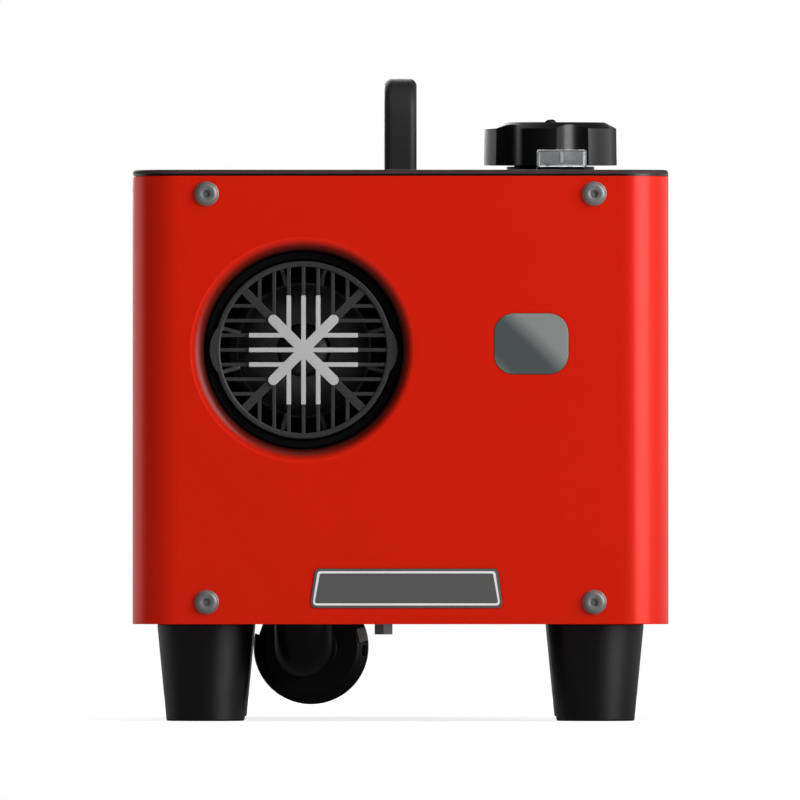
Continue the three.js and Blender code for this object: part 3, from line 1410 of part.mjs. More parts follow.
function buildMountBolts() {
  ["mount_bolt_front", "mount_bolt_rear"].forEach((name, i) => {
    const at = boltSpots[i];
    const r = BOLT_AF / Math.sqrt(3);
    const head = new THREE.CylinderGeometry(r, r, BOLT_HEAD_H, 6).rotateX(Math.PI / 2);
    head.translate(at[0], at[1], zBase - SEAT - BOLT_HEAD_H / 2);
    const shank = rodZ(BOLT_R, at, [zBase - SEAT - 1, zFloor + BOLT_IN], TINY);
    piece(name, join(head, shank), zincSteel);
  });
}

// ---------------------------------------------------------------- combustion air, exhaust, fuel

const coverFace = silencerY - COVER_FRONT;
const ductX = outX;

function buildSilencer() {
  const at = [silencerX, SILENCER_Z];
  const y1 = silencerY + SILENCER_L;
  const canister = turnedY(
    [
      [SILENCER_R - SILENCER_T, silencerY],
      [SILENCER_R, silencerY],
      [SILENCER_R, y1 - 3],
      [SILENCER_R - 3, y1],
      [SILENCER_MOUTH_R, y1],
      [SILENCER_MOUTH_R, y1 - SILENCER_T],
      [SILENCER_R - SILENCER_T - 2, y1 - SILENCER_T],
      [SILENCER_R - SILENCER_T, y1 - SILENCER_T - 2],
    ],
    at,
    MEDIUM,
  );
  piece("intake_silencer", canister, blackPlastic);
  const cover = turnedY(
    [
      [0, coverFace],
      [COVER_FACE_R, coverFace],
      [COVER_R, coverFace + 5],
      [COVER_R, coverFace + COVER_RIM],
      [around(SILENCER_R + GAP, ROUND), coverFace + COVER_RIM],
      [around(SILENCER_R + GAP, ROUND), silencerY - SEAT],
      [0, silencerY - SEAT],
    ],
    at,
  );
  const ductXZ = [ductX, SILENCER_Z];
  const boss = rodY(COVER_BOSS_R, at, [coverFace - COVER_BOSS, coverFace + 1], MEDIUM);
  const duct = rodY(around(DUCT_R + GAP, MEDIUM), ductXZ, [coverFace - COVER_BOSS - 1, coverFace], MEDIUM);
  const spigotR = flat(DUCT_R - DUCT_WALL, SMALL) - GAP;
  const spigot = rodY(spigotR, ductXZ, [coverFace - COVER_SPIGOT, coverFace + 1], SMALL);
  const bore = rodY(spigotR - DUCT_WALL, ductXZ, [coverFace - COVER_SPIGOT - 1, silencerY + 1], SMALL);
  piece("silencer_cover", cut(join(cover, cut(boss, duct), spigot), bore), blackPlastic);
}

/** Moulded duct from the silencer's cover, up through the floor and back to the burner's intake stub. */
function buildDuct() {
  const front = coverFace - DUCT_FRONT;
  const [x, y] = intakeXY;
  const path = bentPath(
    [
      vector(ductX, coverFace - GAP, SILENCER_Z),
      vector(ductX, front, SILENCER_Z),
      vector(ductX, front, DUCT_RUN_Z),
      vector(x, y, DUCT_RUN_Z),
      vector(x, y, pipeTop),
    ],
    DUCT_BEND,
  );
  piece("intake_duct", tubeAlong(path, DUCT_R, DUCT_R - DUCT_WALL, SMALL), blackPlastic);
}

function buildExhaust() {
  const [x, y] = exhaustXY;
  const neck = y + MUFFLER_SET;
  const path = bentPath(
    [vector(x, y, pipeTop), vector(x, y, EXHAUST_Z), vector(x, neck + MUFFLER_NECK - 2, EXHAUST_Z)],
    PIPE_BEND,
  );
  piece("exhaust_pipe", tubeAlong(path, PIPE_R, PIPE_R - PIPE_WALL, SMALL), stainless);
  const bore = around(PIPE_R + GAP, MEDIUM);
  const can0 = neck + MUFFLER_NECK;
  const can1 = can0 + MUFFLER_L;
  const tail = yRear - TAIL_SHORT;
  const muffler = turnedY(
    [
      [bore, neck],
      [bore + MUFFLER_T, neck],
      [bore + MUFFLER_T, can0],
      [MUFFLER_R, can0 + 4],
      [MUFFLER_R, can1 - 4],
      [TAIL_R, can1],
      [TAIL_R, tail],
      [TAIL_R - MUFFLER_T, tail],
      [TAIL_R - MUFFLER_T, can1 - 1],
      [MUFFLER_R - MUFFLER_T, can1 - 5],
      [MUFFLER_R - MUFFLER_T, can0 + 5],
      [bore, can0 + 1],
    ],
    [x, EXHAUST_Z],
    MEDIUM,
  );
  piece("exhaust_silencer", muffler, stainless);
}

const pumpXZ = [pumpX, zFloor + PUMP_UP];

function buildPump() {
  const chamber = (PLUNGER_L + PLUNGER_TRAVEL + 2 * SEAT) / 2;
  const middle = pumpY + PUMP_L / 2;
  const body = turnedY(
    [
      [PASSAGE_R, pumpY - PUMP_NIPPLE_L],
      [PUMP_NIPPLE_R, pumpY - PUMP_NIPPLE_L],
      [PUMP_NIPPLE_R, pumpY],
      [PUMP_R - 3, pumpY],
      [PUMP_R, pumpY + 3],
      [PUMP_R, pumpY + PUMP_L - 3],
      [PUMP_R - 3, pumpY + PUMP_L],
      [PUMP_NIPPLE_R, pumpY + PUMP_L],
      [PUMP_NIPPLE_R, pumpY + PUMP_L + PUMP_NIPPLE_L],
      [PASSAGE_R, pumpY + PUMP_L + PUMP_NIPPLE_L],
      [PASSAGE_R, middle + chamber],
      [PLUNGER_R + GAP, middle + chamber],
      [PLUNGER_R + GAP, middle - chamber],
      [PASSAGE_R, middle - chamber],
    ],
    pumpXZ,
    SMALL,
  );
  piece("fuel_pump", body, zincSteel);
  const start = middle - chamber + SEAT;
  const plunger = tubeY(PASSAGE_R, PLUNGER_R, pumpXZ, [start, start + PLUNGER_L], TINY);
  piece("pump_plunger", plunger, stainless);
}

/** Rubber-lined clamp that holds the pump to the left wall. */
function buildPumpClamp() {
  const y = [pumpY + PUMP_L / 2 - CLAMP_W / 2, pumpY + PUMP_L / 2 + CLAMP_W / 2];
  const wall = -xWall + SHEET_T + SEAT;
  const rOut = PUMP_R + GAP + CLAMP_T;
  const ring = tubeY(PUMP_R + GAP, rOut, pumpXZ, y, SMALL);
  const arm = block([wall, pumpX], y, [pumpXZ[1] + PUMP_R, pumpXZ[1] + PUMP_R + CLAMP_T]);
  const pad = block([wall, wall + 2], y, [pumpXZ[1] - PUMP_R, pumpXZ[1] + PUMP_R + CLAMP_T + 12]);
  const space = rodY(PUMP_R + GAP + 1, pumpXZ, [y[0] - 1, y[1] + 1]);
  piece("pump_clamp", join(ring, cut(arm, space), pad), rubber);
}

/** Fuel line from the tank's nipple to the pump, and from the pump up to the unit's nipple. */
function buildFuelLines() {
  const [tankY, tankZ] = tankNippleYZ;
  const [, pumpZ] = pumpXZ;
  const start = tankLeft - PUMP_NIPPLE_L - GAP;
  const pumpRear = pumpY + PUMP_L + PUMP_NIPPLE_L + GAP;
  const turnY = (tankY + pumpRear) / 2 + LINE_STRAIGHT;
  const lowZ = zFloor + LINE_LOW;
  const supply = new THREE.CatmullRomCurve3([
    vector(start, tankY, tankZ),
    vector(start - 2 * LINE_STRAIGHT, tankY, tankZ),
    vector((start + outX) / 2, tankY, lowZ),
    vector((outX + pumpX) / 2, tankY, lowZ),
    vector(pumpX + LINE_STRAIGHT, tankY, (lowZ + pumpZ) / 2),
    vector(pumpX, turnY, pumpZ - LINE_R),
    vector(pumpX, pumpRear + LINE_STRAIGHT, pumpZ),
    vector(pumpX, pumpRear, pumpZ),
  ]);
  piece("fuel_supply_line", tubeAlong(supply.getPoints(18), LINE_R, 0, TINY), fuelLine);
  const pumpFront = pumpY - PUMP_NIPPLE_L - GAP;
  const [nippleX, nippleY] = nippleXY;
  const nippleEnd = zOut - Math.sqrt(shellIn ** 2 - NIPPLE_DX ** 2) - NIPPLE_L - GAP;
  const rise = nippleEnd - LINE_STRAIGHT - pumpZ;
  const out = pumpFront - LINE_STRAIGHT;
  const feed = new THREE.CatmullRomCurve3([
    vector(pumpX, pumpFront, pumpZ),
    vector(pumpX, out, pumpZ),
    vector(pumpX, out - LINE_STRAIGHT, pumpZ + rise / 6),
    vector(pumpX + LINE_STRAIGHT / 2, out - LINE_STRAIGHT / 2, pumpZ + rise / 2),
    vector((pumpX + nippleX) / 2, (out + nippleY) / 2, pumpZ + rise * 0.75),
    vector(nippleX - LINE_R, nippleY - LINE_STRAIGHT, nippleEnd - 2 * LINE_STRAIGHT),
    vector(nippleX, nippleY, nippleEnd - LINE_STRAIGHT),
    vector(nippleX, nippleY, nippleEnd),
  ]);
  piece("fuel_feed_line", tubeAlong(feed.getPoints(16), LINE_R, 0, TINY), fuelLine);
}

// ---------------------------------------------------------------- the whole heater

buildFrontPanel();
buildRearPanel();
buildCasingWrap();
buildScrews();
buildFeet();
buildLid();
buildHandle();
buildCollar();
buildGrille();
buildStar();
buildIntakeGrille();
buildInlet();
buildTank();
buildNeck();
buildCap();
buildSwitch();
buildSwitchCover();
buildControlPanel();
buildButtons();
buildBoard();
buildShells();
buildExchanger();
buildBurner();
buildGlowPlug();
buildMotor();
buildBurnerFan();
buildBlowerWheel();
buildControlUnit();
buildMountBolts();
buildSilencer();
buildDuct();
buildExhaust();
buildPump();
buildPumpClamp();
buildFuelLines();

export default heater;
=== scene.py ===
"""A portable diesel air heater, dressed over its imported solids.

Sizes are in millimetres on the classes below, and every mesh is made in metres in the frame of
the solids: +X right, +Y back, +Z up, with the ground at z = 0. PLAY is the room between a piece
and what holds it, and SEAT the gap under a piece that stands on another.
"""

import json
import logging
import math
from dataclasses import dataclass
from enum import Enum
from typing import Iterable, Sequence

import bpy
from mathutils import Matrix, Vector

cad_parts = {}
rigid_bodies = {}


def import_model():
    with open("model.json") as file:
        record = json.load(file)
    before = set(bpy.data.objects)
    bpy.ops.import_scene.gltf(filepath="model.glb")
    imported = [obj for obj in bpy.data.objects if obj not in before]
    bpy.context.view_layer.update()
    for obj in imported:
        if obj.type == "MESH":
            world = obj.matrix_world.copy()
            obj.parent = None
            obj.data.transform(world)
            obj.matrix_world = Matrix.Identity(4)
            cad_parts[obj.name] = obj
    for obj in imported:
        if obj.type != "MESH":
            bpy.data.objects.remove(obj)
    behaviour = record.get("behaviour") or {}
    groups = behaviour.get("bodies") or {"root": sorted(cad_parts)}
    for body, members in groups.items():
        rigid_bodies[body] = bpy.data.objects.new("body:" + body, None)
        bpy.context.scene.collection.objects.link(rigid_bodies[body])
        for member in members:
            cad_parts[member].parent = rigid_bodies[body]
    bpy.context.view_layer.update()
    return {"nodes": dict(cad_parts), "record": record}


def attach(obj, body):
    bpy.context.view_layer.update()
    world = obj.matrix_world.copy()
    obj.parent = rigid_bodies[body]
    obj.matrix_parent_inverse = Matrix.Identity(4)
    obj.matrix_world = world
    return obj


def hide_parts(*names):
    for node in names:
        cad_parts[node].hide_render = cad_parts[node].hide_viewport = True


MM = 0.001
TOUCHING = 1e-6
HEATER = "heater"
WHITE = (1.0, 1.0, 1.0, 1.0)
Pair = tuple[float, float]
Triple = tuple[float, float, float]
Colour = Triple

DEPTH = 400.0
FRONT = -DEPTH / 2
REAR = DEPTH / 2
LID_TOP = 308.6
PLAY = 0.3
SEAT = 0.2
UNIT_AXIS: Pair = (-54.3, 207.8)
EXHAUST_AT: Pair = (-42.3, 16.0)
INTAKE_RADIUS = 50.0
INLET_AT: Pair = (98.0, 99.4)
INLET_SIZE: Pair = (26.0, 15.0)

Piece = bpy.types.Object
Tree = bpy.types.NodeTree
Node = bpy.types.Node
Socket = bpy.types.NodeSocket

log = logging.getLogger("heater")


class Axis(Enum):
    """The direction that a flat outline is raised along, or a turned piece is spun about."""

    X = (1.0, 0.0, 0.0)
    Y = (0.0, 1.0, 0.0)
    Z = (0.0, 0.0, 1.0)

    def at(self, u: float, v: float, height: float) -> Vector:
        """Gives a point in metres.

        Args:
            u: First place across the axis, in millimetres.
            v: Second place across the axis, in millimetres.
            height: Place along the axis, in millimetres.

        Returns:
            The point in the frame of the solids.
        """
        places = {Axis.X: (height, u, v), Axis.Y: (u, height, v), Axis.Z: (u, v, height)}
        return Vector(places[self]) * MM


# ------------------------------------------------------------------ modelling


class Bench:
    """The modelling tools that every sub-assembly uses."""

    @staticmethod
    def clear() -> None:
        """Leaves edit mode and selects nothing."""
        if bpy.context.mode != "OBJECT":
            bpy.ops.object.mode_set(mode="OBJECT")
        bpy.ops.object.select_all(action="DESELECT")

    @staticmethod
    def take(*pieces: Piece) -> None:
        """Selects only these pieces and makes the first one active.

        Args:
            pieces: The objects to select.
        """
        Bench.clear()
        for piece in pieces:
            piece.select_set(True)
        bpy.context.view_layer.objects.active = pieces[0]

    @staticmethod
    def loop(name: str, points: Sequence[Vector]) -> Piece:
        """Adds a ring of edges through points, shaped from a circle.

        Args:
            name: The piece's name.
            points: Its corners in order, in metres.

        Returns:
            The new object.
        """
        Bench.clear()
        bpy.ops.mesh.primitive_circle_add(vertices=len(points), radius=MM, fill_type="NOTHING")
        piece = bpy.context.object
        piece.name = name
        for vertex, point in zip(piece.data.vertices, points):
            vertex.co = point
        return piece

    @staticmethod
    def turned(name: str, profile: Sequence[Pair], at: Pair, axis: Axis = Axis.Y, steps: int = 96) -> Piece:
        """Spins a profile about an axis.

        Args:
            name: The piece's name.
            profile: Radius and height pairs; it closes on itself, or starts and ends on the axis.
            at: Where the axis lies, across it.
            axis: The direction that the profile turns about.
            steps: Faces round a full turn.

        Returns:
            The new object, closed, with its faces pointing out.
        """
        open_ended = profile[0][0] == 0 and profile[-1][0] == 0
        piece = Bench.loop(name, [axis.at(at[0] + r, at[1], h) for r, h in profile])
        ends = {0, len(profile) - 1}
        for vertex in piece.data.vertices:
            vertex.select = vertex.index in ends
        for edge in piece.data.edges:
            edge.select = set(edge.vertices) == ends
        Bench.take(piece)
        bpy.context.tool_settings.mesh_select_mode = (False, True, False)
        bpy.ops.object.mode_set(mode="EDIT")
        if open_ended:
            bpy.ops.mesh.delete(type="EDGE")
        bpy.ops.mesh.select_all(action="SELECT")
        bpy.ops.mesh.spin(steps=steps, angle=math.tau, center=axis.at(*at, 0), axis=axis.value)
        Bench.close_up()
        return piece

    @staticmethod
    def close_up() -> None:
        """Merges what lies in one place, turns all faces outwards and leaves edit mode."""
        bpy.ops.mesh.select_mode(type="VERT")
        bpy.ops.mesh.select_all(action="SELECT")
        bpy.ops.mesh.remove_doubles(threshold=TOUCHING)
        bpy.ops.mesh.normals_make_consistent(inside=False)
        bpy.ops.object.mode_set(mode="OBJECT")

    @staticmethod
    def plate(
        name: str, outline: Sequence[Pair], span: Pair, axis: Axis = Axis.Y, edge: float = 0.0, cuts: int = 3
    ) -> Piece:
        """Raises a flat outline along an axis and rounds its edges.

        Args:
            name: The piece's name.
            outline: The corners across the axis.
            span: Where it starts and ends along the axis.
            axis: The direction that it is raised along.
            edge: The rounding of its edges, or nothing.
            cuts: Faces across a rounding.

        Returns:
            The new object.
        """
        piece = Bench.loop(name, [axis.at(u, v, span[0]) for u, v in outline])
        Bench.take(piece)
        bpy.ops.object.mode_set(mode="EDIT")
        bpy.ops.mesh.select_all(action="SELECT")
        bpy.ops.mesh.edge_face_add()
        rise = Vector(axis.value) * (span[1] - span[0]) * MM
        bpy.ops.mesh.extrude_region_move(TRANSFORM_OT_translate={"value": rise})
        Bench.close_up()
        if edge:
            Bench.soften(piece, edge, cuts)
        return piece

    @staticmethod
    def block(name: str, low: Triple, high: Triple, edge: float = 0.0, cuts: int = 2) -> Piece:
        """Adds a box between two corners and rounds its edges.

        Args:
            name: The piece's name.
            low: Its lowest corner.
            high: Its highest corner.
            edge: The rounding of its edges, or nothing.
            cuts: Faces across a rounding.

        Returns:
            The new object.
        """
        outline = [(low[0], low[1]), (high[0], low[1]), (high[0], high[1]), (low[0], high[1])]
        return Bench.plate(name, outline, (low[2], high[2]), Axis.Z, edge, cuts)

    @staticmethod
    def tube(name: str, route: Sequence[Vector], radius: float, bend: float, smooth: int = 12) -> Piece:
        """Sweeps a round section along straight runs with rounded corners.

        Args:
            name: The piece's name.
            route: The corners of the route, in metres.
            radius: The outside radius.
            bend: How far from each corner its rounding starts.
            smooth: Points along each rounding.

        Returns:
            The new object, closed at both ends.
        """
        points = [route[0]]
        for before, corner, after in zip(route, route[1:], route[2:]):
            start = corner + (before - corner).normalized() * bend * MM
            end = corner + (after - corner).normalized() * bend * MM
            for i in range(smooth + 1):
                t = i / smooth
                points.append(start.lerp(corner, t).lerp(corner.lerp(end, t), t))
        points.append(route[-1])
        Bench.clear()
        bpy.ops.curve.primitive_nurbs_path_add(radius=MM)
        piece = bpy.context.object
        piece.name = name
        curve = piece.data
        curve.splines.clear()
        spline = curve.splines.new("POLY")
        spline.points.add(len(points) - 1)
        for knot, point in zip(spline.points, points):
            knot.co = (*point, 1.0)
        curve.dimensions = "3D"
        curve.bevel_depth = radius * MM
        curve.bevel_resolution = 10
        curve.use_fill_caps = True
        bpy.ops.object.convert(target="MESH")
        piece = bpy.context.object
        Bench.take(piece)
        bpy.ops.object.mode_set(mode="EDIT")
        Bench.close_up()
        return piece

    @staticmethod
    def apply(piece: Piece, kind: str, **settings: object) -> None:
        """Adds a modifier, sets it and applies it.

        Args:
            piece: The object that it works on.
            kind: The modifier's type.
            settings: Its properties by name.
        """
        Bench.take(piece)
        modifier = piece.modifiers.new(kind.lower(), kind)
        for key, value in settings.items():
            setattr(modifier, key, value)
        bpy.ops.object.modifier_apply(modifier=modifier.name)

    @staticmethod
    def soften(piece: Piece, width: float, cuts: int = 3, angle: float = 40.0) -> None:
        """Rounds every edge that is sharper than an angle.

        Args:
            piece: The object whose edges are rounded.
            width: The rounding, in millimetres.
            cuts: Faces across it.
            angle: The least angle between two faces that is rounded, in degrees.
        """
        limit = math.radians(angle)
        Bench.apply(piece, "BEVEL", width=width * MM, segments=cuts, limit_method="ANGLE", angle_limit=limit)

    @staticmethod
    def soften_rim(piece: Piece, height: float, width: float, cuts: int = 5) -> None:
        """Rounds only the edges that lie level at one height.

        Args:
            piece: The object whose edges are rounded.
            height: The height of the edges, in millimetres.
            width: The rounding, in millimetres.
            cuts: Faces across it.
        """
        level = {vertex.index for vertex in piece.data.vertices if abs(vertex.co.z - height * MM) < TOUCHING}
        weights = piece.data.attributes.new("bevel_weight_edge", "FLOAT", "EDGE")
        for edge, weight in zip(piece.data.edges, weights.data):
            weight.value = float(level.issuperset(edge.vertices))
        Bench.apply(piece, "BEVEL", width=width * MM, segments=cuts, limit_method="WEIGHT")
        piece.data.attributes.remove(piece.data.attributes["bevel_weight_edge"])

    @staticmethod
    def combine(piece: Piece, tools: Iterable[Piece], operation: str) -> None:
        """Works tools into a piece and removes them.

        Args:
            piece: The object that stays.
            tools: The objects that act on it.
            operation: How they act: "DIFFERENCE", "INTERSECT" or "UNION".
        """
        for tool in tools:
            Bench.apply(piece, "BOOLEAN", operation=operation, object=tool, solver="EXACT")
            bpy.data.objects.remove(tool, do_unlink=True)

    @staticmethod
    def carve(piece: Piece, *tools: Piece) -> None:
        """Takes tools out of a piece and removes them."""
        Bench.combine(piece, tools, "DIFFERENCE")

    @staticmethod
    def fuse(name: str, pieces: Sequence[Piece]) -> Piece:
        """Makes one closed solid of pieces that overlap.

        Args:
            name: The name of the result.
            pieces: The objects to fuse.

        Returns:
            The fused object, without the faces that lay inside.
        """
        body = pieces[0]
        Bench.combine(body, pieces[1:], "UNION")
        Bench.take(body)
        bpy.ops.object.mode_set(mode="EDIT")
        bpy.ops.mesh.select_all(action="SELECT")
        bpy.ops.mesh.dissolve_limited(angle_limit=math.radians(0.5))
        bpy.ops.object.mode_set(mode="OBJECT")
        body.name = name
        return body

    @staticmethod
    def join(name: str, pieces: Iterable[Piece]) -> Piece:
        """Makes one object of several.

        Args:
            name: The name of the result.
            pieces: The objects to join.

        Returns:
            The joined object.
        """
        pieces = list(pieces)
        Bench.take(*pieces)
        if len(pieces) > 1:
            bpy.ops.object.join()
        pieces[0].name = name
        return pieces[0]

    @staticmethod
    def copy(piece: Piece, name: str, move: Matrix) -> Piece:
        """Copies a piece with a mesh of its own, moved by a matrix.

        Args:
            piece: The object to copy.
            name: The copy's name.
            move: The motion, in metres.

        Returns:
            The copy.
        """
        twin = piece.copy()
        twin.data = piece.data.copy()
        twin.name = name
        bpy.context.collection.objects.link(twin)
        Bench.place(twin, move)
        return twin

    @staticmethod
    def place(piece: Piece, move: Matrix) -> None:
        """Moves a piece and applies the motion to its mesh.

        Args:
            piece: The object to move.
            move: The motion, in metres.
        """
        piece.matrix_world = move @ piece.matrix_world
        Bench.take(piece)
        bpy.ops.object.transform_apply(location=True, rotation=True, scale=True)

    @staticmethod
    def spin_copies(piece: Piece, name: str, count: int, at: Pair, axis: Axis) -> Piece:
        """Sets copies of a piece evenly round an axis and joins them.

        Args:
            piece: The first of them.
            name: The name of the result.
            count: How many there are in all.
            at: Where the axis lies, across it.
            axis: The axis.

        Returns:
            The joined object.
        """
        centre = Matrix.Translation(axis.at(*at, 0))
        copies = [piece]
        for k in range(1, count):
            turn = Matrix.Rotation(math.tau * k / count, 4, Vector(axis.value))
            copies.append(Bench.copy(piece, f"{name}_{k}", centre @ turn @ centre.inverted()))
        return Bench.join(name, copies)

    @staticmethod
    def finish(piece: Piece, body: str, finish: "Finish", *nodes: str, angle: float = 35.0) -> None:
        """Smooths a piece, gives it its finish and seats it on its body.

        Args:
            piece: The finished mesh.
            body: The body that it moves with.
            finish: Its finish.
            nodes: The solids that it stands for.
            angle: Edges sharper than this stay crisp, in degrees.
        """
        Bench.take(piece)
        bpy.ops.object.shade_smooth_by_angle(angle=math.radians(angle), keep_sharp_edges=False)
        Bench.apply(piece, "WEIGHTED_NORMAL", keep_sharp=True, weight=50)
        if not piece.data.materials:
            piece.data.materials.append(finish.material())
        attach(piece, body)
        if nodes:
            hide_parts(*nodes)
        log.info("%s rides on %s", piece.name, body)


def arc(centre: Pair, radius: float, start: float, end: float, steps: int = 8) -> list[Pair]:
    """Gives points along a round arc.

    Args:
        centre: Its middle.
        radius: Its radius.
        start: The first angle in degrees.
        end: The last angle in degrees.
        steps: How many stretches it has.

    Returns:
        The points, the first and last included.
    """
    angles = [math.radians(start + (end - start) * i / steps) for i in range(steps + 1)]
    return [(centre[0] + radius * math.cos(a), centre[1] + radius * math.sin(a)) for a in angles]


def rounded_rect(centre: Pair, width: float, height: float, radius: float, steps: int = 8) -> list[Pair]:
    """Gives the outline of a rectangle with round corners.

    Args:
        centre: Its middle.
        width: Its whole width.
        height: Its whole height.
        radius: The radius of its corners.
        steps: Stretches round each corner.

    Returns:
        Its points in order.
    """
    u, v = width / 2 - radius, height / 2 - radius
    points: list[Pair] = []
    for su, sv, start in ((1, -1, -90), (1, 1, 0), (-1, 1, 90), (-1, -1, 180)):
        points += arc((centre[0] + su * u, centre[1] + sv * v), radius, start, start + 90, steps)
    return points


def rod(radius: float, span: Pair, bore: float = 0.0) -> list[Pair]:
    """Gives the profile of a round bar or of a tube.

    Args:
        radius: Its outside radius.
        span: Where it starts and ends along its axis.
        bore: Its inside radius, or nothing.

    Returns:
        Radius and height pairs.
    """
    return [(bore, span[0]), (radius, span[0]), (radius, span[1]), (bore, span[1])]


def hexagon(centre: Pair, radius: float, turn: float = 0.0) -> list[Pair]:
    """Gives the outline of a hexagon.

    Args:
        centre: Its middle.
        radius: The radius of its corners.
        turn: The angle of its first corner, in degrees.

    Returns:
        Its points in order.
    """
    return arc(centre, radius, turn, turn + 300, 5)


def turn_about(at: Pair, angle: float) -> Matrix:
    """Gives the motion from the middle of the frame to an axis along Y, turned about it.

    Args:
        at: Where the axis lies.
        angle: The turn, in degrees.

    Returns:
        The motion, in metres.
    """
    return Matrix.Translation(Axis.Y.at(*at, 0)) @ Matrix.Rotation(math.radians(angle), 4, "Y")


def eased(profile: Sequence[Pair], radius: float, steps: int = 3) -> list[Pair]:
    """Rounds the corners of a profile that is about to be spun.

    Args:
        profile: Radius and height pairs.
        radius: How far from a corner its rounding starts, at most.
        steps: Stretches round each corner.

    Returns:
        The profile with rounded corners; its ends on the axis stay.
    """
    count = len(profile)
    closed = profile[0][0] != 0
    result: list[Pair] = []
    for i, corner in enumerate(profile):
        if not closed and i in (0, count - 1):
            result.append(corner)
            continue
        here = Vector(corner)
        before = Vector(profile[i - 1]) - here
        after = Vector(profile[(i + 1) % count]) - here
        reach = min(radius, before.length * 0.45, after.length * 0.45)
        start = here + before.normalized() * reach
        end = here + after.normalized() * reach
        for k in range(steps + 1):
            t = k / steps
            result.append(tuple(start.lerp(here, t).lerp(here.lerp(end, t), t)))
    return result


# ------------------------------------------------------------------ finishes


def add_node(tree: Tree, kind: str, *inputs: object, **named: object) -> Node:
    """Adds a node and fills its inputs: a socket is linked, anything else is set.

    Args:
        tree: The nodes it is added to.
        kind: The node's type, without the word in front that all of them share.
        inputs: What goes into its inputs, in order.
        named: What goes into inputs by name, with _ for each space; any other name is a property.

    Returns:
        The node.
    """
    node = tree.nodes.new(f"ShaderNode{kind}")
    given = list(enumerate(inputs))
    for name, value in named.items():
        key = name.replace("_", " ")
        if key in node.inputs:
            given.append((key, value))
        else:
            setattr(node, name, value)
    for key, value in given:
        if isinstance(value, Socket):
            tree.links.new(value, node.inputs[key])
        else:
            node.inputs[key].default_value = value
    return node


def linear(colour: Colour) -> tuple[float, float, float, float]:
    """Turns a colour of 0 to 255 into the light that a shader uses.

    Args:
        colour: Red, green and blue as written.

    Returns:
        Linear red, green, blue and an alpha of 1.
    """
    parts = [c / 255 for c in colour]
    return (*[c / 12.92 if c <= 0.04045 else ((c + 0.055) / 1.055) ** 2.4 for c in parts], 1.0)


@dataclass(frozen=True)
class Finish:
    """A plain moulded or painted surface with a fine grain and a slight change of tone."""

    slot: str
    colour: Colour
    roughness: float
    metallic: float = 0.0
    specular: float = 0.5
    tone: float = 0.06
    tone_scale: float = 25.0
    grain: float = 0.15
    grain_scale: float = 1200.0
    grain_depth: float = 0.00005
    stretch: Triple = (1.0, 1.0, 1.0)
    wear: float = 0.05
    wear_finer: float = 4.0
    smoothest: float = 0.02
    variant: str = "plain"

    def material(self) -> bpy.types.Material:
        """Gives the finish's material and makes it the first time."""
        name = f"{self.slot}_{self.variant}"
        return bpy.data.materials.get(name) or self.build(name)

    def build(self, name: str) -> bpy.types.Material:
        """Makes the material.

        Args:
            name: Its name.

        Returns:
            The material, with its nodes in place.
        """
        material = bpy.data.materials.new(name)
        material.use_nodes = True
        tree = material.node_tree
        shader = tree.nodes["Principled BSDF"]
        shader.inputs["Metallic"].default_value = self.metallic
        shader.inputs["Specular IOR Level"].default_value = self.specular
        place = self.places(tree)
        colour = self.ramp(tree, self.pattern(tree, place), self.stops())
        tree.links.new(colour, shader.inputs["Base Color"])
        self.dress_surface(tree, shader, place)
        return material

    def places(self, tree: Tree) -> Socket:
        """Adds the coordinates that the patterns read.

        Args:
            tree: The material's nodes.

        Returns:
            The socket that gives each point's place.
        """
        coordinates = add_node(tree, "TexCoord")
        return add_node(tree, "Mapping", Vector=coordinates.outputs["Object"], Scale=self.stretch).outputs["Vector"]

    def noise(self, tree: Tree, place: Socket, scale: float, detail: float = 3.0) -> Socket:
        """Adds a noise pattern.

        Args:
            tree: The material's nodes.
            place: Where the pattern reads its place.
            scale: Cells to a metre.
            detail: How many finer layers it has.

        Returns:
            The pattern's value.
        """
        return add_node(tree, "TexNoise", Vector=place, Scale=scale, Detail=detail).outputs["Fac"]

    def ramp(self, tree: Tree, value: Socket, stops: Sequence[tuple[float, Colour]]) -> Socket:
        """Adds a run of colours over a value.

        Args:
            tree: The material's nodes.
            value: What drives it.
            stops: Place and colour of each stop.

        Returns:
            The colour.
        """
        node = add_node(tree, "ValToRGB", Fac=value)
        elements = node.color_ramp.elements
        while len(elements) < len(stops):
            elements.new(0.5)
        for element, (where, colour) in zip(elements, stops):
            element.position = where
            element.color = linear(colour)
        return node.outputs["Color"]

    def shade(self, factor: float) -> Colour:
        """Gives the finish's colour, darker below 1 and lighter above it."""
        return tuple(min(255.0, c * factor) for c in self.colour)

    def stops(self) -> list[tuple[float, Colour]]:
        """Gives the place and colour of each stop of the surface's colours."""
        return [(0.3, self.shade(1 - self.tone)), (0.7, self.shade(1 + self.tone))]

    def pattern(self, tree: Tree, place: Socket) -> Socket:
        """Adds the pattern that the colours follow: here a slow change of tone.

        Args:
            tree: The material's nodes.
            place: Where patterns read their place.

        Returns:
            The pattern's value.
        """
        return self.noise(tree, place, self.tone_scale)

    def dress_surface(self, tree: Tree, shader: Node, place: Socket) -> None:
        """Gives the surface its gloss and its fine relief.

        Args:
            tree: The material's nodes.
            shader: The surface shader.
            place: Where patterns read their place.
        """
        value = self.noise(tree, place, self.tone_scale * self.wear_finer)
        low, high = max(self.smoothest, self.roughness - self.wear), self.roughness + self.wear
        spread = add_node(tree, "MapRange", Value=value, To_Min=low, To_Max=high)
        tree.links.new(spread.outputs["Result"], shader.inputs["Roughness"])
        relief = self.noise(tree, place, self.grain_scale, 2.0)
        bump = add_node(tree, "Bump", Strength=self.grain, Distance=self.grain_depth, Height=relief)
        tree.links.new(bump.outputs["Normal"], shader.inputs["Normal"])


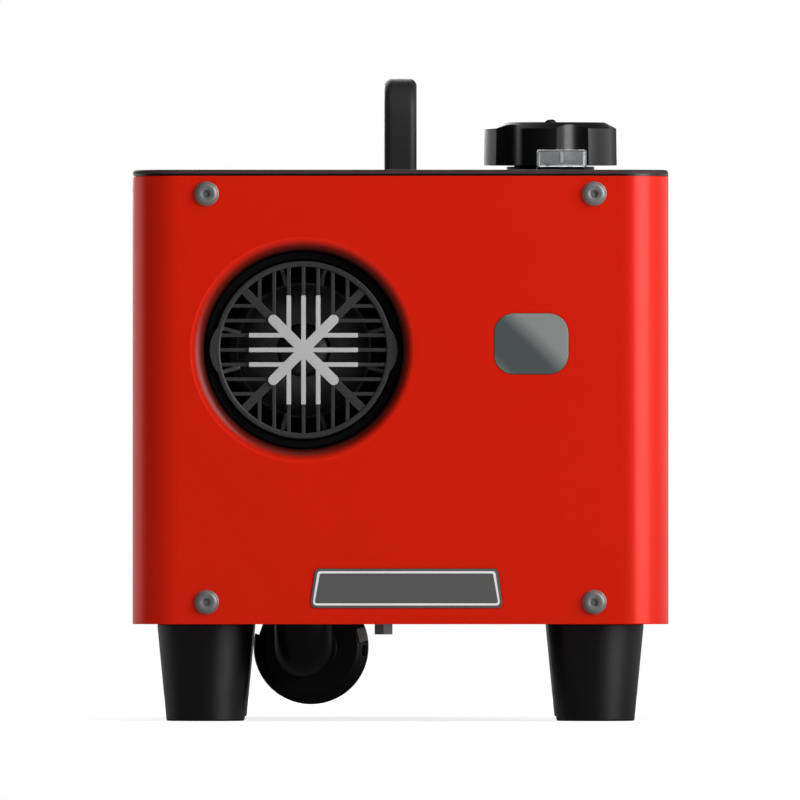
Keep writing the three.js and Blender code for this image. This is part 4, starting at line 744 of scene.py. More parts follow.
@dataclass(frozen=True)
class ClearFinish(Finish):
    """A clear moulding, slightly hazy."""

    clearness: float = 0.88
    bending: float = 1.46

    def build(self, name: str) -> bpy.types.Material:
        """Makes the clear material.

        Args:
            name: Its name.

        Returns:
            The material.
        """
        material = super().build(name)
        shader = material.node_tree.nodes["Principled BSDF"]
        shader.inputs["Transmission Weight"].default_value = self.clearness
        shader.inputs["IOR"].default_value = self.bending
        return material


@dataclass(frozen=True)
class MouthShadePaint(Finish):
    """The paint of the rolled mouth, with painted shade that darkens it towards the throat, where the recess falls into
    shadow.
    """

    radii: Pair = (55.4, 62.4)
    throat_shade_colour: Colour = (22, 8, 6)

    def stops(self) -> list[tuple[float, Colour]]:
        """Gives the mouth's colours, from the painted shade at the throat outwards to the plain paint."""
        return [(0.0, self.throat_shade_colour), (0.45, self.shade(0.5)), (0.8, self.shade(0.86)), (1.0, self.colour)]

    def pattern(self, tree: Tree, place: Socket) -> Socket:
        """Adds a value that runs from 0 at the throat to 1 at the outside of the mouth.

        Args:
            tree: The material's nodes.
            place: Where patterns read their place.

        Returns:
            The value.
        """
        middle = (-UNIT_AXIS[0] * MM, 0, -UNIT_AXIS[1] * MM)
        flat = add_node(tree, "Mapping", Vector=place, Location=middle, Scale=(1, 0, 1)).outputs["Vector"]
        length = add_node(tree, "VectorMath", flat, operation="LENGTH").outputs["Value"]
        near, far = (radius * MM for radius in self.radii)
        return add_node(tree, "MapRange", Value=length, From_Min=near, From_Max=far).outputs["Result"]


@dataclass(frozen=True)
class PaintedReflectionBands(Finish):
    """A mirror film with painted reflections: its tone runs in soft diagonal bands of painted highlight."""

    reflection_colour: Colour = (150, 156, 154)
    bands: float = 9.0
    waver: float = 0.6

    def stops(self) -> list[tuple[float, Colour]]:
        """Gives the dark colour and the colour of the painted reflection bands."""
        return [(0.2, self.colour), (0.75, self.reflection_colour)]

    def pattern(self, tree: Tree, place: Socket) -> Socket:
        """Adds the diagonal bands of painted reflection.

        Args:
            tree: The material's nodes.
            place: Where patterns read their place.

        Returns:
            The bands' value.
        """
        wave = add_node(
            tree, "TexWave", Vector=place, Scale=self.bands, Distortion=self.waver, bands_direction="DIAGONAL"
        )
        return wave.outputs["Fac"]


@dataclass(frozen=True)
class BoardFinish(Finish):
    """A circuit board with tracks under a green coat."""

    track: Colour = (52, 128, 76)
    tracks: float = 160.0

    def stops(self) -> list[tuple[float, Colour]]:
        """Gives the colours of the tracks and of the board between them."""
        return [(0.35, self.colour), (0.45, self.track)]

    def pattern(self, tree: Tree, place: Socket) -> Socket:
        """Adds the cells that the tracks follow.

        Args:
            tree: The material's nodes.
            place: Where patterns read their place.

        Returns:
            Each point's distance from its cell's middle.
        """
        cells = add_node(tree, "TexVoronoi", Vector=place, Scale=self.tracks, distance="CHEBYCHEV")
        return cells.outputs["Distance"]


RED_PAINT = Finish(
    "red_paint", (212, 27, 1), 0.29, metallic=0.14, specular=0.25, tone=0.004, grain=0.05, grain_scale=700, wear=0.012
)
# The mouth's red carries painted shade: it darkens towards the throat, standing in for the shadow in the recess.
MOUTH_PAINTED_SHADE = MouthShadePaint(
    "red_paint", (212, 27, 1), 0.3, specular=0.2, tone=0.004, grain=0.05, grain_scale=700, wear=0.012, variant="mouth"
)
BLACK_PAINT = Finish("black_paint", (62, 47, 46), 0.58, specular=0.25, tone=0.03, grain=0.3, grain_scale=1600)
BLACK_PLASTIC = Finish("black_plastic", (7, 7, 7), 0.36, specular=0.22, grain=0.12, grain_scale=2200)
GRIP_PLASTIC = Finish("black_plastic", (40, 40, 40), 0.52, specular=0.3, grain=0.25, grain_scale=1500, variant="grip")
CAP_PLASTIC = Finish("black_plastic", (9, 9, 9), 0.3, specular=0.5, grain=0.1, grain_scale=2000, variant="cap")
# A lighter copy of the black plastic for the silencer clip: painted light, standing in for the light that falls on it.
CLIP_PLASTIC_PAINTED_LIGHT = Finish("black_plastic", (122, 122, 118), 0.4, specular=0.4, grain=0.1, variant="clip")
GREY_PLASTIC = Finish("grey_plastic", (48, 49, 48), 0.42, specular=0.4, grain=0.2, grain_scale=2400)
LIGHT_PLASTIC = Finish("light_plastic", (176, 176, 176), 0.45, tone=0.02, grain=0.15, grain_scale=2400)
DARK_PLATE = Finish("dark_plate", (84, 84, 84), 0.45, tone=0.03, grain=0.2, grain_scale=2600)
PALE_LINE = Finish("light_plastic", (226, 226, 224), 0.4, tone=0.02, variant="line")
# The inlay film carries painted reflections: soft diagonal bands of lighter tone.
INLAY_FILM = PaintedReflectionBands("inlay_film", (86, 94, 93), 0.2, metallic=0.3, grain=0.03)
SCREW_STEEL = Finish("screw_steel", (126, 127, 127), 0.38, metallic=0.45, grain=0.2, grain_scale=3000)
ZINC_STEEL = Finish("zinc_steel", (150, 148, 154), 0.42, metallic=0.3, grain=0.25, grain_scale=2600)
STAINLESS = Finish(
    "stainless", (176, 174, 168), 0.28, metallic=0.95, grain=0.3, grain_scale=1800, stretch=(1, 0.08, 1)
)
POLISHED = Finish("stainless", (98, 98, 97), 0.3, metallic=0.95, grain=0.0, tone=0.02, variant="polished")
CAST_ALUMINIUM = Finish(
    "cast_aluminium", (186, 187, 186), 0.36, metallic=0.6, grain=0.5, grain_scale=900, grain_depth=0.0002
)
RUBBER = Finish("rubber", (4, 4, 4), 0.36, specular=0.52, grain=0.15, grain_scale=1500)
TANK_PLASTIC = Finish("tank_plastic", (214, 210, 198), 0.5, grain=0.3, grain_scale=700)
CLEAR_PLASTIC = ClearFinish("clear_plastic", (226, 230, 230), 0.1, tone=0.01, grain=0.0, wear=0.02)
SCREEN_GLASS = Finish("screen_glass", (12, 17, 21), 0.12, tone=0.1, grain=0.0)
BOARD_GREEN = BoardFinish("board_green", (28, 90, 52), 0.4)
FUEL_LINE = Finish("fuel_line", (205, 214, 182), 0.3, grain=0.1)

NODE_FINISHES = {
    finish.slot: finish
    for finish in (
        RED_PAINT, BLACK_PAINT, BLACK_PLASTIC, GREY_PLASTIC, LIGHT_PLASTIC, DARK_PLATE, INLAY_FILM, SCREW_STEEL,
        ZINC_STEEL, STAINLESS, CAST_ALUMINIUM, RUBBER, TANK_PLASTIC, CLEAR_PLASTIC, SCREEN_GLASS, BOARD_GREEN, FUEL_LINE
    )
}


# ------------------------------------------------------------------ casing


@dataclass
class Casing:
    """The red box: end panels, sheet wrap, lid and the screws that hold them."""

    width: float = 300.0
    depth: float = DEPTH
    low: float = 54.4
    high: float = 305.2
    corner: float = 26.0
    wall: float = 2.5
    wrap: float = 30.0
    sheet: float = 1.5
    fold: float = 1.0
    gap: float = PLAY
    lid_inset: float = 0.1
    lid_edge: float = 2.1
    lap: float = 7.0
    lap_thick: float = 0.9
    lap_ends: Pair = (3.0, 17.0)
    # The height of the black strip under the lid that stands in for the shade along its lower edge.
    shade_strip: float = 0.9
    shade_strip_width: float = 6.0
    mouth_radius: float = 55.4
    mouth_fillet: float = 7.3
    mouth_step: Pair = (0.5, 0.16)
    throat: float = 14.0
    mouth_end: float = 262.0
    screw_x: float = 108.4
    screw_rows: Pair = (66.8, 295.1)
    screw_head: tuple[Pair, ...] = (
        (0, 3.1), (4.7, 3.0), (5.6, 2.5), (6.3, 1.6), (6.5, 0.95), (6.8, 0.75), (6.8, 0.1), (6.6, 0)
    )
    screw_dish: tuple[Pair, ...] = ((0, 4), (3.4, 4), (3.4, 3.1), (2.5, 2.6), (0, 2.6))
    screw_shank: Pair = (3.0, 38.0)
    screw_socket: float = 2.35
    tab: float = 9.0
    tab_thick: float = 2.0
    strip: float = 1.6
    strip_deep: float = 8.0
    strip_reach: Pair = (98.0, 160.0)

    def end_panel(self, name: str) -> Piece:
        """Makes the bent wall of an end panel, at the front.

        Args:
            name: The panel's name.

        Returns:
            The wall with its two round corners and short returns.
        """
        x, y = self.width / 2, FRONT
        inner = self.corner - self.wall
        middle = (x - self.corner, y + self.corner)
        left = (-middle[0], middle[1])
        outline = [(-x, y + self.wrap)]
        outline += arc(left, self.corner, 180, 270, 20) + arc(middle, self.corner, 270, 360, 20)
        outline += [(x, y + self.wrap), (x - self.wall, y + self.wrap)]
        outline += arc(middle, inner, 360, 270, 20) + arc(left, inner, 270, 180, 20)
        outline += [(-x + self.wall, y + self.wrap)]
        panel = Bench.plate(name, outline, (self.low, self.high), Axis.Z)
        Bench.soften(panel, 0.5, 3, 50)
        return panel

    def mouth(self) -> Piece:
        """Makes the rolled mouth of the outlet, with the fine pressed step around it.

        Returns:
            The mouth, painted.
        """
        radius = self.mouth_radius + self.mouth_fillet
        out, sunk = self.mouth_step
        middle = (radius, FRONT + sunk + self.mouth_fillet)
        deep = FRONT + self.throat
        profile = [(radius + out, FRONT), (radius, FRONT + sunk)]
        profile += arc(middle, self.mouth_fillet, self.mouth_end, 180, 24)
        profile += [(self.mouth_radius, deep), (self.mouth_radius + self.wall, deep)]
        profile += arc(middle, self.mouth_fillet - self.wall, 180, 270, 12)
        profile += [(radius + out, FRONT + self.wall)]
        mouth = Bench.turned("mouth", profile, UNIT_AXIS, steps=160)
        # This material paints shade into the mouth, darker towards the throat.
        mouth.data.materials.append(MOUTH_PAINTED_SHADE.material())
        return mouth

    def hole(self, radius: float, span: Pair) -> Piece:
        """Makes the tool that cuts a round hole in line with the unit."""
        return Bench.turned("hole_tool", rod(radius, span), UNIT_AXIS, steps=160)

    def front_panel(self, badge: "FrontBadges") -> None:
        """Makes the front panel with its mouth and the shallow seats of the badges.

        Args:
            badge: The badges, whose outlines give the seats.
        """
        panel = self.end_panel("front_shell")
        seats = [
            Bench.plate("seat", badge.inlay_outline(self.gap), (FRONT - 1, FRONT + badge.inlay_thick)),
            Bench.plate("seat", badge.plate_outline(self.gap), (FRONT - 1, FRONT + badge.plate_sunk)),
        ]
        radius = self.mouth_radius + self.mouth_fillet + self.mouth_step[0]
        hole = self.hole(radius, (FRONT - 1, FRONT + 5))
        Bench.carve(panel, hole, *seats)
        panel.data.materials.append(RED_PAINT.material())
        panel = Bench.join("front_shell", [panel, self.mouth()])
        Bench.finish(panel, HEATER, RED_PAINT, "front_panel")

    def rear_panel(self) -> None:
        """Makes the rear panel with the openings for the intake grille and the power inlet."""
        panel = self.end_panel("rear_shell")
        Bench.place(panel, Matrix.Rotation(math.pi, 4, "Z"))
        through = (REAR - 5, REAR + 1)
        intake = self.hole(INTAKE_RADIUS + self.gap, through)
        size = [s + 2 * self.gap for s in INLET_SIZE]
        inlet = Bench.plate("inlet_tool", rounded_rect(INLET_AT, *size, 2), through)
        Bench.carve(panel, intake, inlet)
        Bench.finish(panel, HEATER, RED_PAINT, "rear_panel")

    def sheet_wrap(self, windows: Sequence[Piece]) -> None:
        """Makes the floor and side walls from one folded sheet.

        Args:
            windows: Tools that cut the openings in the floor.
        """
        x = self.width / 2
        seam = self.depth / 2 - self.wrap - self.gap
        inside = x - self.wall - self.gap
        low, high, fold, bevel = self.low, self.high, self.fold, 0.3 * self.fold
        thick = x - self.sheet
        outline = [(-x, high), (-x, low + fold), (-x + bevel, low + bevel), (-x + fold, low), (x - fold, low)]
        outline += [(x - bevel, low + bevel), (x, low + fold), (x, high), (thick, high)]
        outline += [(thick, low + self.sheet), (-thick, low + self.sheet), (-thick, high)]
        wrap = Bench.plate("wrap", outline, (-seam, seam), edge=0.25, cuts=2)
        plan = rounded_rect((0, 0), 2 * inside, self.depth - 2 * (self.wall + self.gap), self.corner - self.wall)
        floor = Bench.plate("floor", plan, (self.low, self.low + self.sheet), Axis.Z, edge=0.2, cuts=2)
        for piece in (wrap, floor):
            Bench.carve(piece, *[Bench.copy(window, "window_copy", Matrix()) for window in windows])
        for window in windows:
            bpy.data.objects.remove(window, do_unlink=True)
        wrap = Bench.join("casing_sheet", [wrap, floor, *self.tabs(seam), *self.laps(seam)])
        Bench.finish(wrap, HEATER, RED_PAINT, "casing_wrap")

    def tabs(self, seam: float) -> list[Piece]:
        """Makes the welded tabs that take the panel screws.

        Args:
            seam: How far back from the middle the side walls reach.

        Returns:
            The tabs.
        """
        result = []
        for end in (-1, 1):
            ys = sorted((end * seam, end * (seam - self.tab_thick)))
            for side in (-1, 1):
                x = side * self.screw_x
                low = ((x - self.tab, ys[0], self.low), (x + self.tab, ys[1], self.screw_rows[0] + self.tab))
                xs = sorted((x - side * self.tab, side * (self.width / 2 - self.sheet / 2)))
                z = self.screw_rows[1]
                high = ((xs[0], ys[0], z - self.tab), (xs[1], ys[1], z + self.tab - 1))
                result += [Bench.block("tab", a, b, 0.3) for a, b in (low, high)]
        return result

    def laps(self, seam: float) -> list[Piece]:
        """Makes the joggled strips of the side walls that close the upright seams from behind.

        Args:
            seam: How far back from the middle the side walls reach.

        Returns:
            The strips.
        """
        result = []
        inner = self.width / 2 - self.wall - self.gap
        below, above = self.lap_ends
        for end in (-1, 1):
            near, edge, far = (end * (seam + reach) for reach in (-self.lap, -0.5, self.lap))
            for side in (-1, 1):
                for x, y in ((self.width / 2 - self.sheet + 0.1, edge), (inner, far)):
                    xs, ys = sorted((side * (inner - self.lap_thick), side * x)), sorted((near, y))
                    low, high = (xs[0], ys[0], self.low + below), (xs[1], ys[1], self.high - above)
                    result.append(Bench.block("lap", low, high, 0.2))
        return result

    def lid_sheet(self, holes: Sequence[Piece]) -> None:
        """Makes the black lid, the thin black rubber strip under it that stands in for the shade along the lid's lower
        edge, and the strips that locate it.

        Args:
            holes: Tools that cut its openings.
        """
        size = (self.width - 2 * self.lid_inset, self.depth - 2 * self.lid_inset)
        under = self.high + self.gap
        plan = rounded_rect((0, 0), *size, self.corner, 20)
        lid = Bench.plate("lid", plan, (under + self.shade_strip, LID_TOP), Axis.Z)
        Bench.soften_rim(lid, LID_TOP, self.lid_edge)
        Bench.carve(lid, *holes)
        # Painted shade: a black rubber strip under the lid, standing in for the shadow along the lid's lower edge.
        shade_strip = Bench.plate("lid_shade_strip", plan, (self.high + 0.05, under + self.shade_strip - 0.05), Axis.Z)
        inner = rounded_rect((0, 0), *(s - 2 * self.shade_strip_width for s in size), self.corner - self.shade_strip_width)
        Bench.carve(shade_strip, Bench.plate("shade_strip_tool", inner, (self.high - 1, LID_TOP), Axis.Z))
        Bench.finish(shade_strip, HEATER, RUBBER)
        z = (self.high - self.strip_deep, under + 1)
        end, side = self.depth / 2 - self.wall - self.gap, self.width / 2 - self.sheet - self.gap
        short, long = self.strip_reach
        strips = []
        for s in (-1, 1):
            ys = sorted((s * end, s * (end - self.strip)))
            xs = sorted((s * side, s * (side - self.strip)))
            strips.append(Bench.block("strip", (-short, ys[0], z[0]), (short, ys[1], z[1]), 0.3))
            strips.append(Bench.block("strip", (xs[0], -long, z[0]), (xs[1], long, z[1]), 0.3))
        Bench.finish(Bench.join("lid_sheet", [lid, *strips]), HEATER, BLACK_PAINT, "top_cover")

    def screws(self) -> None:
        """Makes the eight button-head screws that hold the end panels."""
        y = FRONT - SEAT
        shank, length = self.screw_shank
        profile = [(r, y - h) for r, h in self.screw_head] + [(shank, y), (shank, y + length), (0, y + length)]
        screw = Bench.turned("screw", profile, (0, 0), steps=48)
        dish = [(r, y - h) for r, h in self.screw_dish]
        Bench.carve(screw, Bench.turned("dish", dish, (0, 0), steps=48))
        Bench.carve(screw, Bench.plate("socket", hexagon((0, 0), self.screw_socket), (y - 5, y - 1.0)))
        Bench.soften(screw, 0.14, 2, 50)
        for row, z in zip(("bottom", "top"), self.screw_rows):
            for side, x in (("left", -self.screw_x), ("right", self.screw_x)):
                shift = Matrix.Translation(Axis.Y.at(x, z, 0))
                half_turn = Matrix.Rotation(math.pi, 4, "Z")
                front = Bench.copy(screw, f"front_button_screw_{row}_{side}", shift)
                Bench.finish(front, HEATER, SCREW_STEEL, f"front_screw_{row}_{side}")
                rear = Bench.copy(screw, f"rear_button_screw_{row}_{side}", shift @ half_turn)
                Bench.finish(rear, HEATER, SCREW_STEEL, f"rear_screw_{row}_{side}")
        bpy.data.objects.remove(screw, do_unlink=True)


@dataclass
class Feet:
    """Four tapered rubber feet with a screw recess."""

    x: float = 109.3
    y: float = 145.0
    top: float = 54.2
    top_radius: float = 27.1
    bottom_radius: float = 21.85
    recess: float = 7.0
    recess_roof: float = 42.4

    def build(self) -> None:
        """Makes the feet."""
        profile = [(0, self.recess_roof), (self.recess, self.recess_roof), (self.recess, 0)]
        profile += [(self.bottom_radius, 0), (self.top_radius, self.top), (0, self.top)]
        foot = Bench.turned("foot", eased(profile, 1.0), (0, 0), Axis.Z)
        for end, y in (("front", -self.y), ("rear", self.y)):
            for side, x in (("left", -self.x), ("right", self.x)):
                twin = Bench.copy(foot, f"cone_{end}_{side}", Matrix.Translation(Axis.Z.at(x, y, 0)))
                Bench.finish(twin, HEATER, RUBBER, f"foot_{end}_{side}")
        bpy.data.objects.remove(foot, do_unlink=True)


@dataclass
class FrontBadges:
    """The plain inlay and the bare plate on the front."""

    inlay_at: Pair = (73.1, 211.2)
    inlay_size: Pair = (41.4, 34.0)
    inlay_corner: float = 11.0
    inlay_thick: float = 1.2
    plate_at: Pair = (3.3, 74.5)
    plate_widths: Pair = (108.0, 102.0)
    plate_height: float = 22.0
    plate_corners: Pair = (4.2, 2.8)
    plate_sunk: float = 0.6
    line: float = 1.25
    line_in: float = 1.4
    line_proud: Pair = (1.2, 0.6)

    def inlay_outline(self, margin: float = 0.0) -> list[Pair]:
        """Gives the inlay's outline, grown by a margin."""
        size = [s + 2 * margin for s in self.inlay_size]
        return rounded_rect(self.inlay_at, *size, self.inlay_corner + margin, 12)

    def plate_outline(self, margin: float = 0.0) -> list[Pair]:
        """Gives the plate's outline, a trapezium with round corners, grown by a margin.

        Args:
            margin: How far it is grown, or drawn in where this is below 0.

        Returns:
            Its points in order.
        """
        half = self.plate_height / 2 + margin
        low, high = (w / 2 + margin for w in self.plate_widths)
        below, above = self.plate_corners
        corners = [(-low, -half, below), (low, -half, below), (high, half, above), (-high, half, above)]
        points: list[Pair] = []
        for i, (u, v, size) in enumerate(corners):
            here = Vector((u, v))
            reach = max(size + margin, 0.8)
            before = here + (Vector(corners[i - 1][:2]) - here).normalized() * reach
            after = here + (Vector(corners[(i + 1) % 4][:2]) - here).normalized() * reach
            for k in range(7):
                t = k / 6
                spot = before.lerp(here, t).lerp(here.lerp(after, t), t)
                points.append((self.plate_at[0] + spot.x, self.plate_at[1] + spot.y))
        return points

    def build(self) -> None:
        """Makes the inlay, the plate and the plate's pale line."""
        inlay = Bench.plate("inlay", self.inlay_outline(), (FRONT, FRONT + self.inlay_thick - SEAT), edge=0.25)
        # The inlay's lighter diagonal bands are painted reflections.
        Bench.finish(inlay, HEATER, INLAY_FILM, "front_inlay")
        back = FRONT + self.plate_sunk - SEAT
        plate = Bench.plate("bare_plate", self.plate_outline(), (back - 1, back), edge=0.2)
        Bench.finish(plate, HEATER, DARK_PLATE, "front_plate")
        span = (back - self.line_proud[0], back - self.line_proud[1])
        line = Bench.plate("plate_line", self.plate_outline(-self.line_in), span)
        inner = Bench.plate("inner", self.plate_outline(-self.line_in - self.line), (span[0] - 1, span[1] + 1))
        Bench.carve(line, inner)
        Bench.finish(line, HEATER, PALE_LINE, "front_plate")


# ------------------------------------------------------------------ handle, filler, switch


@dataclass
class Handle:
    """The carry handle, a bow along the middle of the lid."""

    length: float = 170.0
    width: float = 18.2
    foot: float = LID_TOP + SEAT
    top: float = 360.6
    thick: float = 15.0
    bend: float = 20.7
    edge: float = 4.2

    def build(self) -> None:
        """Makes the bow and cuts its feet level with the lid."""
        half, low = self.length / 2, self.foot - 10
        inner = self.bend - self.thick
        far, near = (half - self.bend, self.top - self.bend), (self.bend - half, self.top - self.bend)
        outline = [(half, low)] + arc(far, self.bend, 0, 90, 14) + arc(near, self.bend, 90, 180, 14)
        outline += [(-half, low), (-half + self.thick, low)]
        outline += arc(near, inner, 180, 90, 10) + arc(far, inner, 90, 0, 10) + [(half - self.thick, low)]
        bow = Bench.plate("bow", outline, (-self.width / 2, self.width / 2), Axis.X)
        Bench.soften(bow, self.edge, 6, 60)
        Bench.take(bow)
        bpy.ops.object.mode_set(mode="EDIT")
        bpy.ops.mesh.select_all(action="SELECT")
        bpy.ops.mesh.bisect(
            plane_co=(0, 0, self.foot * MM), plane_no=(0, 0, 1), use_fill=True, clear_inner=True
        )
        Bench.close_up()
        Bench.finish(bow, HEATER, GRIP_PLASTIC, "handle")


@dataclass
class Filler:
    """The filler neck, and the cap with its gasket and vent valve."""

    at: Pair = (84.4, -45.0)
    flange: float = 286.8
    flange_size: Pair = (33.0, 3.0)
    tail: float = 8.0
    bore: float = 18.0
    thread: float = 21.4
    thread_deep: float = 1.0
    turns: tuple[float, ...] = (4.5, 8.5, 12.5)
    crest: Triple = (0.7, 1.5, 2.2)
    shoulder: float = 24.75
    shoulder_top: float = 311.2
    neck_top: float = 329.7
    cap_low: float = 311.9
    cap_high: float = 336.1
    radius: float = 37.6
    grip: float = 33.1
    top_radius: float = 30.7
    chamfer: float = 3.5
    rounding: float = 1.3
    roof: float = 4.0
    lobes: int = 6
    turn: float = -10.0
    vent: float = 1.6
    gasket: Pair = (6.2, 4.2)
    knob: tuple[Pair, ...] = ((3.1, 0.2), (2.9, 0.9), (2.2, 1.5), (1.2, 1.8), (0, 1.9))

    def opening(self) -> Piece:
        """Makes the tool that cuts the lid for the neck."""
        return Bench.turned("neck_tool", rod(self.shoulder + PLAY, (LID_TOP - 9, LID_TOP + 1)), self.at, Axis.Z)

    def neck(self) -> None:
        """Makes the neck with a thread on its rim."""
        low, flange = self.flange - self.tail, self.flange
        wide, thick = self.flange_size
        profile = [(self.bore, low), (self.thread, low), (self.thread, flange)]
        profile += [(wide, flange), (wide, flange + thick), (self.shoulder, flange + thick)]
        root = self.thread - self.thread_deep
        profile += [(self.shoulder, self.shoulder_top), (root, self.shoulder_top)]
        start, end, foot = self.crest
        for turn in self.turns:
            z = LID_TOP + turn
            profile += [(root, z), (self.thread, z + start), (self.thread, z + end), (root, z + foot)]
        profile += [(root, self.neck_top), (self.bore, self.neck_top)]
        neck = Bench.turned("neck", eased(profile, 0.35, 2), self.at, Axis.Z)
        Bench.finish(neck, HEATER, BLACK_PLASTIC, "filler_neck")

    def scallop_tools(self) -> Piece:
        """Makes the round tools that cut the finger scallops.

        Returns:
            The tools as one piece.
        """
        pitch = math.tau / self.lobes
        half_chord = self.radius * math.sin(pitch / 4)
        depth = self.radius * math.cos(pitch / 4) - self.grip
        radius = (half_chord**2 + depth**2) / (2 * depth)
        angle = math.radians(-90 + self.turn) + pitch / 2
        reach = self.grip + radius
        spot = (self.at[0] + reach * math.cos(angle), self.at[1] + reach * math.sin(angle))
        tool = Bench.turned("scallop", rod(radius, (self.cap_low - 5, self.cap_high + 5)), spot, Axis.Z, 64)
        return Bench.spin_copies(tool, "scallops", self.lobes, self.at, Axis.Z)

    def cap(self) -> None:
        """Makes the cap: a chamfered body with scallops, its gasket and its vent valve."""
        low, high = self.cap_low, self.cap_high
        profile = [(0, low), (self.radius, low), (self.radius - 0.1, low + 6), (self.radius - 0.3, high - self.chamfer)]
        profile += [(self.top_radius, high), (0, high)]
        body = Bench.turned("cap_body", profile, self.at, Axis.Z, 144)
        Bench.carve(body, self.scallop_tools())
        Bench.soften(body, self.rounding, 4, 22)
        wide, narrow = self.shoulder + PLAY, self.thread + PLAY
        step, roof = self.shoulder_top + PLAY, high - self.roof
        bore = [(0, low - 1), (wide, low - 1), (wide, step), (narrow, step), (narrow, roof), (0, roof)]
        Bench.carve(body, Bench.turned("cap_bore", bore, self.at, Axis.Z))
        vent = rod(self.vent + PLAY, (high - 5, high + 1))
        Bench.carve(body, Bench.turned("vent_bore", vent, self.at, Axis.Z, 32))
        Bench.finish(body, "cap", CAP_PLASTIC, "filler_cap")
        ring = rod(self.thread, (high - self.gasket[0], high - self.gasket[1]), self.bore)
        gasket = Bench.turned("seal_ring", eased(ring, 0.5), self.at, Axis.Z)
        Bench.finish(gasket, "cap_seal", RUBBER, "cap_gasket")
        stem = [(0, high - 3.8), (self.vent, high - 3.8), (self.vent, high + self.knob[0][1])]
        knob = [(r, high + h) for r, h in self.knob]
        valve = Bench.turned("vent_knob", stem + knob, self.at, Axis.Z, 32)
        Bench.finish(valve, "cap", CAP_PLASTIC, "cap_vent_valve")


@dataclass
class PowerSwitch:
    """The rocker switch under its clear hinged cover."""

    at: Pair = (90.3, -140.0)
    size: Pair = (27.8, 23.0)
    seat: float = LID_TOP + SEAT
    inset: float = 2.6
    rim_thick: float = 1.6
    barrel: float = 2.0
    barrel_length: float = 11.0
    ear: float = 3.0
    cover_high: float = 9.4
    wall: float = 1.2
    pin: float = 0.8
    rib: Pair = (1.7, 6.2)
    body_deep: float = 17.0
    pocket: Pair = (1.4, 7.0)
    paddle: Pair = (9.3, 7.2)
    tilt: float = 8.0

    @property
    def rim(self) -> float:
        """The top of the switch's rim."""
        return self.seat + self.rim_thick

    @property
    def pivot(self) -> Pair:
        """The hinge's place in y and z."""
        return (self.at[1] + self.size[1] / 2 + self.barrel, self.rim + self.barrel + PLAY)

    def opening(self) -> Piece:
        """Makes the tool that cuts the lid for the switch."""
        size = [s - 2 * self.inset + 2 * PLAY for s in self.size]
        return Bench.plate("switch_tool", rounded_rect(self.at, *size, 1), (LID_TOP - 9, LID_TOP + 1), Axis.Z)

    def body(self) -> None:
        """Makes the switch's body with its rim, pocket and hinge ears."""
        w, d = self.size
        bw, bd = w - 2 * self.inset, d - 2 * self.inset
        rim = Bench.plate("rim", rounded_rect(self.at, w, d, 2), (self.seat, self.rim), Axis.Z, 0.5)
        span = (LID_TOP - self.body_deep, self.rim - 0.2)
        core = Bench.plate("core", rounded_rect(self.at, bw, bd, 1), span, Axis.Z, 0.2)
        wall, deep = self.pocket
        for part in (rim, core):
            hollow = rounded_rect(self.at, bw - 2 * wall, bd - 2 * wall, 0.5)
            Bench.carve(part, Bench.plate("pocket", hollow, (self.rim - deep, self.rim + 1), Axis.Z))
        y, z = self.pivot
        parts = [rim, core]
        ear_radius = self.barrel - PLAY
        end = self.barrel_length / 2 + PLAY + self.ear
        low = (self.at[0] - end, self.at[1] + d / 2 - 1, self.seat)
        parts.append(Bench.block("bridge", low, (self.at[0] + end, y + ear_radius, self.rim - 0.1), 0.3))
        for side in (-1, 1):
            xs = sorted(self.at[0] + side * e for e in (end - self.ear, end))
            outline = [(y - ear_radius, LID_TOP + PLAY), (y + ear_radius, LID_TOP + PLAY)]
            outline += arc((y, z), ear_radius, 0, 180, 14)
            parts.append(Bench.plate("ear", outline, (xs[0], xs[1]), Axis.X, 0.25))
        Bench.finish(Bench.join("switch_housing", parts), HEATER, BLACK_PLASTIC, "switch_body")

    def rocker(self) -> None:
        """Makes the tilted rocker."""
        half, deep = self.paddle
        outline = [(-half, 0), (-half * 0.25, -4), (half * 0.25, -4), (half, 0), (half, 2.4)]
        outline += [(half * 0.5, 1.35), (0, 0.85), (-half * 0.5, 1.35), (-half, 2.4)]
        paddle = Bench.plate("paddle", outline, (-deep, deep), edge=0.35)
        place = Matrix.Translation(Axis.Y.at(self.at[0], self.rim - 1, self.at[1]))
        Bench.place(paddle, place @ Matrix.Rotation(math.radians(self.tilt), 4, "Y"))
        Bench.finish(paddle, "rocker", BLACK_PLASTIC, "switch_rocker")

    def cover(self) -> None:
        """Makes the clear cover, hinged at its rear edge."""
        w, d = self.size
        low, high = self.rim + SEAT, self.rim + SEAT + self.cover_high
        box = Bench.plate("cover_box", rounded_rect(self.at, w, d, 1.6), (low, high), Axis.Z, 0.9, 4)
        inner = rounded_rect(self.at, w - 2 * self.wall, d - 2 * self.wall, 0.8)
        Bench.carve(box, Bench.plate("cover_hollow", inner, (low - 1, high - self.wall), Axis.Z))
        y, z = self.pivot
        half = self.barrel_length / 2
        reach = half + self.ear
        x = self.at[0]
        front = self.at[1] - d / 2
        rib_low = (x - self.rib[0] / 2, front - 0.6, high - 1 - self.rib[1])
        rib = Bench.block("cover_rib", rib_low, (x + self.rib[0] / 2, front + 0.8, high - 1), 0.3)
        Bench.finish(rib, "cover", LIGHT_PLASTIC)
        profile = [(0, x - reach), (self.pin, x - reach), (self.pin, x - half), (self.barrel, x - half)]
        profile += [(self.barrel, x + half), (self.pin, x + half), (self.pin, x + reach), (0, x + reach)]
        hinge = Bench.turned("hinge", eased(profile, 0.3, 2), (y, z), Axis.X, 32)
        web = Bench.block("web", (x - half, self.at[1] + d / 2 - 1, z - 0.6), (x + half, y - 0.5, z + 0.9), 0.2)
        Bench.finish(Bench.join("clear_cover", [box, hinge, web]), "cover", CLEAR_PLASTIC, "switch_cover")


